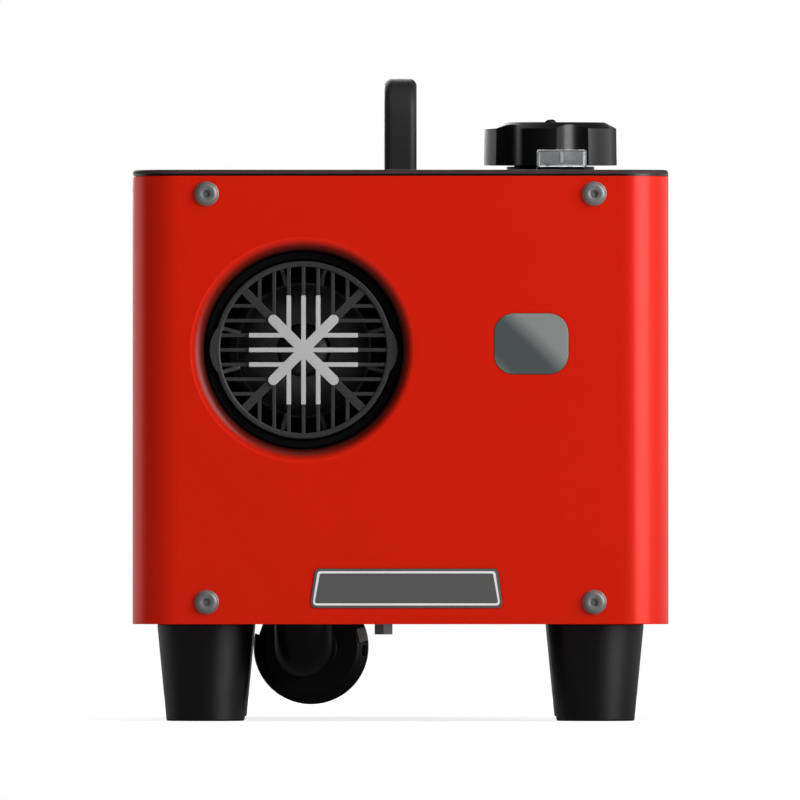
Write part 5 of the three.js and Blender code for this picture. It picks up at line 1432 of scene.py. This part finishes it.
@dataclass
class ControlPanel:
    """The control panel, sunk flush in the lid."""

    at: Pair = (-84.0, -70.0)
    size: Pair = (92.0, 62.0)
    corner: float = 6.0
    under: float = 305.5
    face: float = 308.4
    flange: float = 5.0
    screen: Pair = (48.0, 30.0)
    screen_y: float = 11.0
    button_y: float = -19.0
    pitch: float = 20.0
    button: float = 5.5
    button_flange: Pair = (1.3, 1.2)
    plate: float = 2.0
    names: tuple[str, ...] = ("power", "down", "up", "set")

    def opening(self) -> Piece:
        """Makes the tool that cuts the lid for the panel.

        Returns:
            The tool.
        """
        size = [s + 2 * PLAY for s in self.size]
        outline = rounded_rect(self.at, *size, self.corner)
        return Bench.plate("panel_tool", outline, (self.under - 5, self.under + 9), Axis.Z)

    def spot(self, index: int) -> Pair:
        """Gives the middle of a button."""
        return (self.at[0] + (index - 1.5) * self.pitch, self.at[1] + self.button_y)

    def fascia(self) -> None:
        """Makes the panel's face, with a window seat and holes for the buttons."""
        wide = [s + 2 * self.flange for s in self.size]
        back = self.under - SEAT - self.plate
        outline = rounded_rect(self.at, *wide, self.corner)
        flange = Bench.plate("flange", outline, (back, self.under - SEAT), Axis.Z, 0.2)
        outline = rounded_rect(self.at, *self.size, self.corner - PLAY)
        face = Bench.plate("face", outline, (back + 1, self.face), Axis.Z, 0.6)
        middle = (self.at[0], self.at[1] + self.screen_y)
        for part in (flange, face):
            tools = []
            for k in range(len(self.names)):
                hole = rod(self.button + PLAY, (back - 1, self.face + 1))
                tools.append(Bench.turned("hole", hole, self.spot(k), Axis.Z, 48))
            seat = rounded_rect(middle, self.screen[0] + 2 * PLAY, self.screen[1] + 2 * PLAY, 2)
            tools.append(Bench.plate("seat", seat, (self.face - 1.4, self.face + 1), Axis.Z))
            view = rounded_rect(middle, self.screen[0] - 4, self.screen[1] - 4, 1)
            tools.append(Bench.plate("view", view, (back - 1, self.face), Axis.Z))
            Bench.carve(part, *tools)
        Bench.finish(Bench.join("panel_face", [flange, face]), HEATER, BLACK_PLASTIC, "control_fascia")
        glass = rounded_rect(middle, *self.screen, 2)
        window = Bench.plate("window_glass", glass, (self.face - 1.2, self.face), Axis.Z, 0.2)
        Bench.finish(window, HEATER, SCREEN_GLASS, "display_window")

    def symbol(self, name: str, spot: Pair, top: float) -> Piece:
        """Makes the raised mark on a button.

        Args:
            name: The button's name.
            spot: The middle of the button.
            top: The top of the button.

        Returns:
            A thin raised mark: a broken ring, a triangle down or up, or a dot.
        """
        u, v = spot
        span = (top - 0.1, top + 0.12)
        if name in ("down", "up"):
            s = 1 if name == "up" else -1
            outline = [(u - 2.1, v - 1.2 * s), (u + 2.1, v - 1.2 * s), (u, v + 1.9 * s)]
            return Bench.plate("mark", outline, span, Axis.Z)
        if name == "set":
            return Bench.plate("mark", arc(spot, 1.3, 0, 345, 23), span, Axis.Z)
        ring = Bench.plate("mark", arc(spot, 2.3, 120, 420, 24) + arc(spot, 1.7, 420, 120, 24), span, Axis.Z)
        bar = Bench.block("bar", (u - 0.3, v + 0.6, span[0]), (u + 0.3, v + 2.8, span[1]))
        return Bench.join("mark", [ring, bar])

    def buttons(self) -> None:
        """Makes the four rubber buttons and their marks."""
        wider, thick = self.button_flange
        foot = self.under - self.plate - 2 * SEAT - thick
        top = self.face - PLAY
        for k, name in enumerate(self.names):
            profile = [(0, foot), (self.button + wider, foot), (self.button + wider, foot + thick)]
            profile += [(self.button, foot + thick), (self.button, top), (0, top - 0.15)]
            key = Bench.turned(f"key_{name}", eased(profile, 0.45), self.spot(k), Axis.Z, 48)
            Bench.finish(key, f"button_{name}_key", RUBBER, f"button_{name}")
            mark = self.symbol(name, self.spot(k), top - 0.1)
            mark.name = f"mark_{name}"
            Bench.finish(mark, f"button_{name}_key", PALE_LINE)


# ------------------------------------------------------------------ outlet and what shows through it


@dataclass
class Outlet:
    """The hot-air outlet: collar, turning grille and the pale star on it."""

    throat: tuple[Pair, ...] = (
        (50.5, -189), (55.1, -189), (55.1, -185.8), (59.9, -185.8), (59.9, -182.8), (53.0, -182.8),
        (66.1, -150), (66.1, -144), (63.6, -144), (63.6, -150), (47.5, -180.3), (47.5, -182.3), (50.5, -182.3)
    )
    ring: float = 49.8
    ring_wall: float = 3.3
    ring_face: float = -192.5
    ring_deep: float = 10.0
    pitch: float = 8.2
    bar: float = 2.1
    spoke: float = 4.8
    bar_deep: Pair = (1.0, 5.0)
    lug_reach: float = 2.8
    lug_radius: float = 20.0
    lug_thick: float = 2.6
    star_reach: float = 30.5
    star_bar: float = 2.6
    arm: float = 23.8
    arm_width: float = 5.8
    star_span: Pair = (-193.3, -191.7)

    def bar_block(self, us: Pair, vs: Pair, span: Pair, turn: float = 0.0) -> Piece:
        """Makes one bar of the grille or the star.

        Args:
            us: Where it starts and ends sideways, from the middle.
            vs: Where it starts and ends upwards, from the middle.
            span: Where it starts and ends in depth.
            turn: How far it is turned about the middle, in degrees.

        Returns:
            The bar.
        """
        bar = Bench.block("bar", (us[0], span[0], vs[0]), (us[1], span[1], vs[1]))
        Bench.place(bar, turn_about(UNIT_AXIS, turn))
        return bar

    def collar(self) -> None:
        """Makes the black collar and the duct that widens behind it."""
        collar = Bench.turned("outlet_throat", eased(self.throat, 0.8), UNIT_AXIS, steps=128)
        Bench.finish(collar, HEATER, BLACK_PLASTIC, "outlet_collar")

    def grille(self) -> None:
        """Makes the grille: ring, finger lugs, diagonal spokes and four fields of bars."""
        profile = rod(self.ring, (self.ring_face, self.ring_face + self.ring_deep), self.ring - self.ring_wall)
        ring = Bench.turned("ring", eased(profile, 1.1, 5), UNIT_AXIS, steps=128)
        span = (self.ring_face + self.bar_deep[0], self.ring_face + self.bar_deep[1])
        reach = self.ring - self.ring_wall / 2
        half = self.spoke / 2
        bars = [self.bar_block((-reach, reach), (-half, half), span, turn) for turn in (-45, 45)]
        for k in range(-3, 4):
            u = k * self.pitch
            bars += self.field_bars(u, self.bar, math.sqrt(reach**2 - u**2), span)
        bars = Bench.fuse("bars", bars)
        Bench.soften(bars, 0.3, 3)
        Bench.finish(Bench.join("grille_ring", [ring, bars, *self.lugs()]), "grille", GREY_PLASTIC, "outlet_grille")

    def field_bars(self, place: float, width: float, reach: float, span: Pair) -> list[Piece]:
        """Makes the four bars at one place of the fields, which stop at the diagonals.

        Args:
            place: How far from the middle they lie.
            width: How wide they are.
            reach: How far from the middle they end.
            span: Where they start and end in depth.

        Returns:
            The bars: up, down, right and left.
        """
        across = (place - width / 2, place + width / 2)
        result = []
        for side in (-1, 1):
            run = tuple(sorted((side * abs(place), side * reach)))
            result.append(self.bar_block(across, run, span))
            result.append(self.bar_block(run, across, span))
        return result

    def lugs(self) -> list[Piece]:
        """Makes the two finger lugs of the ring.

        Returns:
            The lugs: right and left.
        """
        result = []
        span = (self.ring_face, self.ring_face + self.lug_thick)
        ring, radius = self.ring, self.lug_radius
        centre = ring + self.lug_reach - radius
        half = math.degrees(math.acos((ring**2 - radius**2 - centre**2) / (2 * centre * radius)))
        ends = math.degrees(math.asin(radius * math.sin(math.radians(half)) / ring))
        for side in (0, 180):
            middle = (UNIT_AXIS[0] + centre * math.cos(math.radians(side)), UNIT_AXIS[1])
            outline = arc(middle, radius, side - half, side + half, 20)
            outline += arc(UNIT_AXIS, ring - 1, side + ends, side - ends, 12)
            result.append(Bench.plate("lug", outline, span, edge=0.4))
        return result

    def star(self) -> None:
        """Makes the pale star: three bars each way and a cross with round ends."""
        parts = []
        half = self.arm_width / 2
        for turn in (-45, 45):
            outline = arc((self.arm, 0), half, -90, 90, 12) + arc((-self.arm, 0), half, 90, 270, 12)
            arm = Bench.plate("arm", outline, self.star_span)
            Bench.place(arm, turn_about(UNIT_AXIS, turn))
            parts.append(arm)
        for k in (-1, 0, 1):
            parts += self.field_bars(k * self.pitch, self.star_bar, self.star_reach, self.star_span)
        star = Bench.fuse("grille_star", parts)
        Bench.soften(star, 0.25, 3)
        Bench.finish(star, "grille", LIGHT_PLASTIC, "grille_star_trim")


@dataclass
class HeaterUnit:
    """The heat exchanger and the fan, which show through the two grilles."""

    fins_at: Pair = (-128.0, 41.0)
    fins: int = 12
    drum: float = 38.0
    fin_reach: float = 66.1
    fin_half: float = 1.3
    dome: float = 14.0
    crown: float = 24.0
    boss: float = 15.0
    boss_rise: float = 6.0
    boss_crown: float = 38.0
    stub_low: float = 125.8
    stub_radii: Pair = (10.5, 12.0)
    fan_at: Pair = (134.4, 156.4)
    fan_radius: float = 62.6
    shaft: float = 2.8
    hub: float = 18.0
    blades: int = 7
    blade_grid: tuple[int, int] = (12, 8)
    blade_sweep: Pair = (28.0, 8.0)
    blade_root: float = 1.5
    blade_taper: float = 0.15
    blade_thick: float = 1.8

    def exchanger(self) -> None:
        """Makes the cast drum with its domed end, its fins and its exhaust stub."""
        y0, y1 = self.fins_at
        profile = [(0, y0 - self.dome)] + arc((0, y0 + self.crown), self.drum, -72, -14, 14)
        profile += [(self.drum, y0 + self.dome), (self.drum, y1), (0, y1)]
        parts = [Bench.turned("drum", profile, UNIT_AXIS)]
        u, v = UNIT_AXIS
        low, high = (u + self.drum - 1, y0, v - self.fin_half), (u + self.fin_reach, y1, v + self.fin_half)
        fin = Bench.block("fin", low, high, 0.7)
        centre = Matrix.Translation(Axis.Y.at(*UNIT_AXIS, 0))
        Bench.place(fin, centre @ Matrix.Rotation(math.pi / self.fins, 4, "Y") @ centre.inverted())
        parts.append(Bench.spin_copies(fin, "fins", self.fins, UNIT_AXIS, Axis.Y))
        stub = rod(self.stub_radii[1], (self.stub_low, v - self.drum + 3), self.stub_radii[0])
        parts.append(Bench.turned("stub", stub, EXHAUST_AT, Axis.Z, 48))
        Bench.finish(Bench.join("exchanger_casting", parts), HEATER, CAST_ALUMINIUM, "heat_exchanger")

    def boss_cap(self) -> None:
        """Makes the polished, slightly domed cap in the middle of the drum's end."""
        deep = self.fins_at[0] - self.dome
        rim = deep - self.boss_rise
        reach = math.degrees(math.acos((self.boss - 0.8) / self.boss_crown))
        middle = (0.0, rim + self.boss_crown * math.sin(math.radians(reach)))
        profile = arc(middle, self.boss_crown, -90, -reach, 12)
        profile[0] = (0, profile[0][1])
        profile += [(self.boss, rim + 0.9), (self.boss, deep + 3), (0, deep + 3)]
        cap = Bench.turned("exchanger_boss", profile, UNIT_AXIS)
        Bench.finish(cap, HEATER, POLISHED)

    def fan(self) -> None:
        """Makes the big fan with its cupped hub and pitched blades."""
        y0, y1 = self.fan_at
        profile = [(self.shaft, y0), (self.hub, y0), (self.hub, y1 - 6), (self.hub * 0.75, y1), (self.shaft, y1)]
        parts = [Bench.turned("fan_hub", eased(profile, 1.5), UNIT_AXIS)]
        Bench.clear()
        columns, rows = self.blade_grid
        bpy.ops.mesh.primitive_grid_add(x_subdivisions=columns, y_subdivisions=rows, size=2)
        blade = bpy.context.object
        root = self.hub - self.blade_root
        pitched, swept = self.blade_sweep
        for vertex in blade.data.vertices:
            along, out = vertex.co.x, (vertex.co.y + 1) / 2
            radius = root + out * (self.fan_radius - root)
            angle = math.radians(along * pitched + swept * out * out)
            height = (y0 + y1) / 2 + along * (y1 - y0 - 3) / 2 * (1 - self.blade_taper * out)
            spot = (UNIT_AXIS[0] + radius * math.cos(angle), UNIT_AXIS[1] + radius * math.sin(angle))
            vertex.co = Axis.Y.at(*spot, height)
        Bench.apply(blade, "SOLIDIFY", thickness=self.blade_thick * MM, offset=0.0)
        Bench.soften(blade, 0.6, 2, 60)
        parts.append(Bench.spin_copies(blade, "blades", self.blades, UNIT_AXIS, Axis.Y))
        Bench.finish(Bench.join("fan_wheel", parts), "blower", BLACK_PLASTIC, "blower_wheel")


# ------------------------------------------------------------------ under the floor


@dataclass
class Underside:
    """The combustion air silencer and duct, the exhaust, and the mounting bolts."""

    silencer_at: Pair = (-50.2, 41.3)
    face: float = -124.0
    canister: Pair = (-118.0, -38.0)
    radius: float = 29.6
    cover: float = 32.3
    cover_face: Pair = (26.0, 27.2)
    cover_deep: float = 12.0
    slot: tuple[Pair, float, float] = ((28.8, 30.7), 3.1, -4.0)
    notch: tuple[Pair, float, float] = ((29.8, 34.0), 3.6, 160.0)
    clip: tuple[Pair, float, float] = ((26.9, 32.0), 4.0, 13.5)
    boss: Pair = (14.6, 5.0)
    duct: float = 16.2
    duct_drop: float = 1.4
    duct_bend: float = 20.0
    duct_x: float = -54.3
    duct_front: float = -152.0
    duct_run: float = 98.0
    stub_at: Pair = (-81.3, 72.2)
    pipe_top: float = 136.8
    exhaust_z: float = 32.0
    pipe: float = 14.2
    pipe_bend: float = 30.0
    muffler: Pair = (80.0, 170.0)
    muffler_radius: float = 20.0
    neck: Pair = (14.9, 16.3)
    tail_end: float = 188.0
    tail: float = 12.0
    bolts: tuple[Pair, ...] = ((-9.5, -115.0), (-99.1, 103.0))
    bolt_top: float = 54.2
    bolt_corner: float = 5.77
    bolt_head: float = 6.0
    crown: tuple[Pair, ...] = ((0, -6.0), (5.1, -6.0), (6.2, -5.5), (6.2, 1), (0, 1))
    shank: tuple[Pair, ...] = ((0, -1), (3, -1), (3, 25.5), (0, 25.7))
    window_room: float = 3.0
    window_span: Pair = (50.0, 60.0)

    @property
    def duct_z(self) -> float:
        """The height of the duct's level run."""
        return self.silencer_at[1] - self.duct_drop

    def windows(self) -> list[Piece]:
        """Makes the tools that cut the floor for the pipes.

        Returns:
            The window over the silencer and the hole for the exhaust.
        """
        room, (below, above) = self.window_room, self.window_span
        x, half = self.silencer_at[0], self.cover + room
        low = (x - half, self.duct_front - self.duct - room, below)
        window = Bench.block("floor_window", low, (x + half, self.canister[1] + room, above))
        return [window, Bench.turned("pipe_hole", rod(self.pipe + room, self.window_span), EXHAUST_AT, Axis.Z, 64)]

    def silencer(self) -> None:
        """Makes the canister and its front cover with the boss and the clip slot."""
        y0, y1 = self.canister
        profile = [(self.radius - 2, y0), (self.radius, y0), (self.radius, y1 - 3), (self.radius - 3, y1)]
        profile += [(9, y1), (9, y1 - 2), (self.radius - 4, y1 - 2), (self.radius - 2, y1 - 4)]
        can = Bench.turned("silencer_can", eased(profile, 0.8), self.silencer_at)
        Bench.finish(can, HEATER, BLACK_PLASTIC, "intake_silencer")
        face, end = self.face, y0 - 0.2
        inner, edge = self.radius + 2 * PLAY, face + self.cover_deep
        flat, brim = self.cover_face
        profile = [(0, face), (flat, face), (brim, face + 0.8), (self.cover - 0.8, face + 3.6)]
        profile += [(self.cover, face + 5), (self.cover, edge), (inner, edge), (inner, end), (0, end)]
        disc = Bench.turned("cover_disc", eased(profile, 0.6), self.silencer_at, steps=128)
        slot = self.rim_block(*self.slot, (face - 1, face + 4.6))
        notch = self.rim_block(*self.notch, (face - 1, edge + 1))
        Bench.carve(disc, slot, notch)
        clip = self.rim_block(*self.clip, (face - 0.5, face + 7))
        Bench.soften(clip, 0.5, 3)
        # The clip's grey is painted light on black plastic.
        Bench.finish(clip, HEATER, CLIP_PLASTIC_PAINTED_LIGHT)
        radius, rise = self.boss
        boss = Bench.turned("boss", eased(rod(radius, (face + 1, face - rise)), 0.7), self.silencer_at, steps=64)
        tool = rod(self.duct + 0.4, (face - 8, face - 0.02))
        Bench.carve(boss, Bench.turned("boss_tool", tool, (self.duct_x, self.duct_z), steps=64))
        Bench.finish(Bench.join("silencer_lid", [disc, boss]), HEATER, BLACK_PLASTIC, "silencer_cover")

    def rim_block(self, radii: Pair, half: float, angle: float, span: Pair) -> Piece:
        """Makes a block on the silencer's rim.

        Args:
            radii: Where it starts and ends from the middle.
            half: Half its width along the rim.
            angle: Its place round the rim, in degrees from the right, upwards.
            span: Where it starts and ends in depth.

        Returns:
            The block.
        """
        block = Bench.block("silencer_clip", (radii[0], span[0], -half), (radii[1], span[1], half))
        Bench.place(block, turn_about(self.silencer_at, -angle))
        return block

    def air_duct(self) -> None:
        """Makes the moulded duct that leads the combustion air up to the burner."""
        x, z = self.duct_x, self.duct_z
        corners = [(x, self.face - 0.3, z), (x, self.duct_front, z), (x, self.duct_front, self.duct_run)]
        corners += [(*self.stub_at, self.duct_run), (*self.stub_at, self.pipe_top)]
        duct = Bench.tube("air_elbow", [Vector(c) * MM for c in corners], self.duct, self.duct_bend)
        Bench.finish(duct, HEATER, BLACK_PLASTIC, "intake_duct", angle=60)

    def exhaust(self) -> None:
        """Makes the exhaust pipe and the silencer with its seams and tail."""
        (x, y), z = EXHAUST_AT, self.exhaust_z
        corners = [(x, y, self.pipe_top), (x, y, z), (x, self.muffler[0] - 2, z)]
        pipe = Bench.tube("exhaust_bend", [Vector(c) * MM for c in corners], self.pipe, self.pipe_bend, 16)
        Bench.finish(pipe, HEATER, STAINLESS, "exhaust_pipe", angle=60)
        near, far = self.muffler
        r, (bore, neck), tail, end = self.muffler_radius, self.neck, self.tail, self.tail_end
        profile = [(bore, near - 14), (neck, near - 14), (neck, near), (r - 0.8, near + 3.2), (r, near + 4)]
        profile += [(r, near + 6), (r - 0.7, near + 6.6), (r - 0.7, far - 6.6), (r, far - 6), (r, far - 4)]
        profile += [(r - 0.8, far - 3), (tail, far), (tail, end), (tail - 1.5, end)]
        profile += [(tail - 1.5, far - 1), (r - 2.2, far - 5), (r - 2.2, near + 5), (bore, near + 1)]
        muffler = Bench.turned("exhaust_can", eased(profile, 0.5, 2), (x, z))
        Bench.finish(muffler, HEATER, STAINLESS, "exhaust_silencer")

    def mount_bolts(self) -> None:
        """Makes the two bolts that hold the heater unit to the floor."""
        top = self.bolt_top
        crown, shank = ([(r, top + h) for r, h in profile] for profile in (self.crown, self.shank))
        for name, at in zip(("front", "rear"), self.bolts):
            head = Bench.plate("head", hexagon(at, self.bolt_corner, 30), (top - self.bolt_head, top), Axis.Z)
            Bench.combine(head, [Bench.turned("crown", crown, at, Axis.Z, 64)], "INTERSECT")
            Bench.soften(head, 0.15, 2, 30)
            stem = Bench.turned("shank", shank, at, Axis.Z, 32)
            bolt = Bench.join(f"hex_bolt_{name}", [head, stem])
            Bench.finish(bolt, HEATER, ZINC_STEEL, f"mount_bolt_{name}")


# ------------------------------------------------------------------ rear


@dataclass
class RearFittings:
    """The air intake grille and the power inlet in the rear panel."""

    rim: float = 7.0
    proud: float = 2.0
    wall: float = 3.0
    pitch: float = 12.0
    bar: float = 2.6
    flange: float = 4.0
    inlet_wall: float = 2.5
    inlet_deep: float = 18.0
    pin: float = 1.6
    pin_apart: float = 6.0

    def intake_grille(self) -> None:
        """Makes the intake grille."""
        u, v = UNIT_AXIS
        inner, outer = INTAKE_RADIUS - self.wall, INTAKE_RADIUS + self.rim
        seat, face = REAR + SEAT, REAR + self.proud
        profile = [(inner, REAR - 3.5), (INTAKE_RADIUS, REAR - 3.5), (INTAKE_RADIUS, seat)]
        profile += [(outer, seat), (outer, REAR + 0.8), (outer - 1.4, face), (inner, face)]
        parts = [Bench.turned("intake_rim", eased(profile, 0.5), UNIT_AXIS, steps=128)]
        reach = INTAKE_RADIUS - self.wall / 2
        for k in range(-3, 4):
            w = k * self.pitch
            end = math.sqrt(reach**2 - w**2)
            low = (u - end, REAR - 2.5, v + w - self.bar / 2)
            parts.append(Bench.block("bar", low, (u + end, REAR + 1.6, v + w + self.bar / 2), 0.5))
        post = Bench.block("post", (u - self.bar, REAR - 2.5, v - reach), (u + self.bar, REAR - 0.5, v + reach), 0.4)
        Bench.finish(Bench.join("rear_grille", [*parts, post]), HEATER, BLACK_PLASTIC, "intake_grille")

    def power_inlet(self) -> None:
        """Makes the power inlet with its two contact pins."""
        wide, inner = ([s + 2 * more for s in INLET_SIZE] for more in (self.flange, -self.inlet_wall))
        outline = rounded_rect(INLET_AT, *wide, 3)
        rim = Bench.plate("rim", outline, (REAR + SEAT, REAR + self.proud), edge=0.5)
        outline = rounded_rect(INLET_AT, *INLET_SIZE, 2)
        shell = Bench.plate("shell", outline, (REAR - self.inlet_deep, REAR + 1), edge=0.2)
        floor = REAR - self.inlet_deep + self.inlet_wall
        for part in (rim, shell):
            Bench.carve(part, Bench.plate("hollow", rounded_rect(INLET_AT, *inner, 1), (floor, REAR + 3)))
        Bench.finish(Bench.join("inlet_housing", [rim, shell]), HEATER, BLACK_PLASTIC, "power_inlet")
        tip = REAR - 4.5
        profile = [(0, floor - 1.5), (self.pin, floor - 1.5), (self.pin, tip - 0.9), (self.pin - 0.7, tip), (0, tip)]
        for name, side in (("left", -1), ("right", 1)):
            spot = (INLET_AT[0] + side * self.pin_apart, INLET_AT[1])
            pin = Bench.turned(f"contact_pin_{name}", profile, spot, steps=24)
            Bench.finish(pin, HEATER, STAINLESS)


# ------------------------------------------------------------------ studio


@dataclass(frozen=True)
class Lamp:
    """A soft box that points at the heater: its place and size in metres, its power in watts."""

    name: str
    place: Triple
    size: Pair
    power: float

    def add(self, aim_height: float) -> None:
        """Adds the lamp.

        Args:
            aim_height: The height on the heater's middle that it points at.
        """
        place = Vector(self.place)
        aim = Vector((0, 0, aim_height)) - place
        bpy.ops.object.light_add(type="AREA", location=place, rotation=aim.to_track_quat("-Z", "Y").to_euler())
        lamp = bpy.context.object
        lamp.name = self.name
        lamp.data.shape = "RECTANGLE"
        lamp.data.size, lamp.data.size_y = self.size
        lamp.data.energy = self.power


@dataclass
class Studio:
    """The floor, the lights and the camera: places in metres, the lens in millimetres."""

    lens: float = 1650.0
    sensor: float = 36.0
    frame_width: float = 0.448
    look_height: float = 0.1798
    look_side: float = -0.00028
    true_plane: float = -0.165
    far: float = 60.0
    world_light: float = 0.28
    floor_glows: Pair = (0.8, 0.05)
    floor_tones: Pair = (0.4, 0.14)
    floor_colour: float = 0.8
    floor_radius: float = 1.6
    floor_drop: float = 0.2 * MM
    bright_side: Triple = (0.1, 0.995, 0.0)
    sides: tuple[Pair, Pair] = ((-0.15, 0.02), (0.3, 1.0))
    behind: tuple[Pair, Pair] = ((0.7, 1.0), (1.0, 0.55))
    ceiling: tuple[Pair, Pair] = ((0.0, 1.0), (0.4, 0.03))
    lamps: tuple[Lamp, ...] = (
        Lamp("key", (2.27, -1.9, 1.0), (1.9, 2.8), 100),
        Lamp("side", (2.47, -0.7, 0.63), (1.1, 1.6), 6),
        Lamp("rim", (-2.35, 0.85, 0.6), (1.1, 1.6), 2),
        Lamp("rear", (-0.6, 2.7, 1.2), (1.8, 1.8), 66),
        Lamp("overhead", (0.2, -0.9, 2.3), (1.6, 1.6), 5),
    )

    def camera(self) -> None:
        """Sets a long lens straight in front, framed as the photograph is."""
        distance = self.frame_width * self.lens / self.sensor
        bpy.ops.object.camera_add(
            location=(self.look_side, self.true_plane - distance, self.look_height), rotation=(math.pi / 2, 0, 0)
        )
        camera = bpy.context.object
        camera.data.lens = self.lens
        camera.data.sensor_width = self.sensor
        camera.data.clip_end = self.far
        bpy.context.scene.camera = camera

    def shown(self, tree: Tree, *more: str) -> Socket:
        """Adds a value that is 1 where the background itself is seen, also through glass.

        Args:
            tree: The nodes it is added to.
            more: Other rays that see it.

        Returns:
            The value.
        """
        path = add_node(tree, "LightPath")
        value = path.outputs["Is Camera Ray"]
        for ray in (*more, "Is Transmission Ray"):
            value = self.combined(tree, "MAXIMUM", value, path.outputs[ray])
        return value

    def combined(self, tree: Tree, operation: str, first: Socket, second: Socket) -> Socket:
        """Adds a value that is worked out from two others.

        Args:
            tree: The nodes it is added to.
            operation: How the two are combined.
            first: The one value.
            second: The other value.

        Returns:
            The result.
        """
        return add_node(tree, "Math", first, second, operation=operation).outputs["Value"]

    def span(self, tree: Tree, value: Socket, start: Pair, end: Pair) -> Socket:
        """Adds a value that runs smoothly from one level to another.

        Args:
            tree: The nodes it is added to.
            value: What drives it.
            start: The driver's value and the level where it starts.
            end: The driver's value and the level where it ends.

        Returns:
            The level.
        """
        (low, level), (high, last) = start, end
        levels = {"From_Min": low, "From_Max": high, "To_Min": level, "To_Max": last}
        return add_node(tree, "MapRange", Value=value, interpolation_type="SMOOTHSTEP", **levels).outputs["Result"]

    def world(self) -> None:
        """Makes the white room: bright behind, and dim in front and above."""
        world = bpy.data.worlds.new("white_room")
        bpy.context.scene.world = world
        world.use_nodes = True
        tree = world.node_tree
        light = tree.nodes["Background"]
        light.inputs["Color"].default_value = WHITE
        light.inputs["Strength"].default_value = self.world_light
        direction = add_node(tree, "TexCoord").outputs["Generated"]
        height = add_node(tree, "SeparateXYZ", direction).outputs["Z"]
        facing = add_node(tree, "VectorMath", direction, self.bright_side, operation="DOT_PRODUCT").outputs["Value"]
        sides = self.span(tree, facing, *self.sides)
        ceiling = self.span(tree, height, *self.ceiling)
        behind = self.span(tree, facing, *self.behind)
        mirrored = self.combined(tree, "MULTIPLY", self.combined(tree, "MULTIPLY", sides, behind), ceiling)
        strength = self.combined(tree, "MAXIMUM", self.shown(tree), mirrored)
        seen = add_node(tree, "Background", Color=WHITE, Strength=strength)
        self.end_in_two(tree, light.outputs["Background"], seen.outputs["Background"], tree.nodes["World Output"])

    def end_in_two(self, tree: Tree, lighting: Socket, seen: Socket, output: Node) -> None:
        """Ends a tree in two shaders: one that lights the scene and one that is seen.

        Args:
            tree: The nodes it is added to.
            lighting: The shader that lights the scene.
            seen: The shader that is seen, mirrored or seen through glass.
            output: Where the tree ends.
        """
        mix = add_node(tree, "MixShader", self.shown(tree, "Is Glossy Ray"), lighting, seen)
        tree.links.new(mix.outputs["Shader"], output.inputs["Surface"])

    def floor(self) -> None:
        """Makes the pale floor, which reads white and keeps the shadow."""
        Bench.clear()
        bpy.ops.mesh.primitive_circle_add(
            vertices=96, radius=self.floor_radius, fill_type="NGON", location=(0, 0, -self.floor_drop)
        )
        floor = bpy.context.object
        floor.name = "studio_floor"
        material = bpy.data.materials.new("studio_floor_finish")
        material.use_nodes = True
        tree = material.node_tree
        tree.nodes.remove(tree.nodes["Principled BSDF"])
        matt = add_node(tree, "BsdfDiffuse", (*[self.floor_colour] * 3, 1)).outputs["BSDF"]
        mirror = add_node(tree, "LightPath").outputs["Is Glossy Ray"]
        strength, tone = (
            self.span(tree, mirror, (0, seen), (1, mirrored)) for seen, mirrored in (self.floor_glows, self.floor_tones)
        )
        glow = add_node(tree, "Emission", Strength=strength).outputs["Emission"]
        pale = add_node(tree, "BsdfDiffuse", tone).outputs["BSDF"]
        both = add_node(tree, "AddShader", pale, glow).outputs["Shader"]
        self.end_in_two(tree, matt, both, tree.nodes["Material Output"])
        floor.data.materials.append(material)

    def build(self) -> None:
        """Makes the whole studio."""
        self.camera()
        self.world()
        self.floor()
        for lamp in self.lamps:
            lamp.add(self.look_height)
        bpy.context.scene.view_settings.view_transform = "Standard"


def dress_nodes(frame: dict) -> None:
    """Gives every solid that still shows the finish of its material slot.
    """
    slots = {part["node"]: part["material_slot"] for part in frame["record"]["subparts"]}
    for name, node in frame["nodes"].items():
        finish = NODE_FINISHES[slots[name]]
        node.data.materials.clear()
        node.data.materials.append(finish.material())


def main() -> None:
    """Builds the heater, sub-assembly by sub-assembly, and the studio."""
    logging.basicConfig(level=logging.INFO, format="%(name)s: %(message)s")
    bpy.ops.object.select_all(action="SELECT")
    bpy.ops.object.delete()
    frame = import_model()
    dress_nodes(frame)
    casing, badges, panel, switch, filler = Casing(), FrontBadges(), ControlPanel(), PowerSwitch(), Filler()
    under, outlet, unit, rear = Underside(), Outlet(), HeaterUnit(), RearFittings()
    casing.front_panel(badges)
    casing.rear_panel()
    casing.sheet_wrap(under.windows())
    casing.lid_sheet([filler.opening(), switch.opening(), panel.opening()])
    casing.screws()
    Feet().build()
    badges.build()
    Handle().build()
    filler.neck()
    filler.cap()
    switch.body()
    switch.rocker()
    switch.cover()
    panel.fascia()
    panel.buttons()
    outlet.collar()
    outlet.grille()
    outlet.star()
    unit.exchanger()
    unit.boss_cap()
    unit.fan()
    under.silencer()
    under.air_duct()
    under.exhaust()
    under.mount_bolts()
    rear.intake_grille()
    rear.power_inlet()
    Studio().build()


if __name__ == "__main__":
    main()
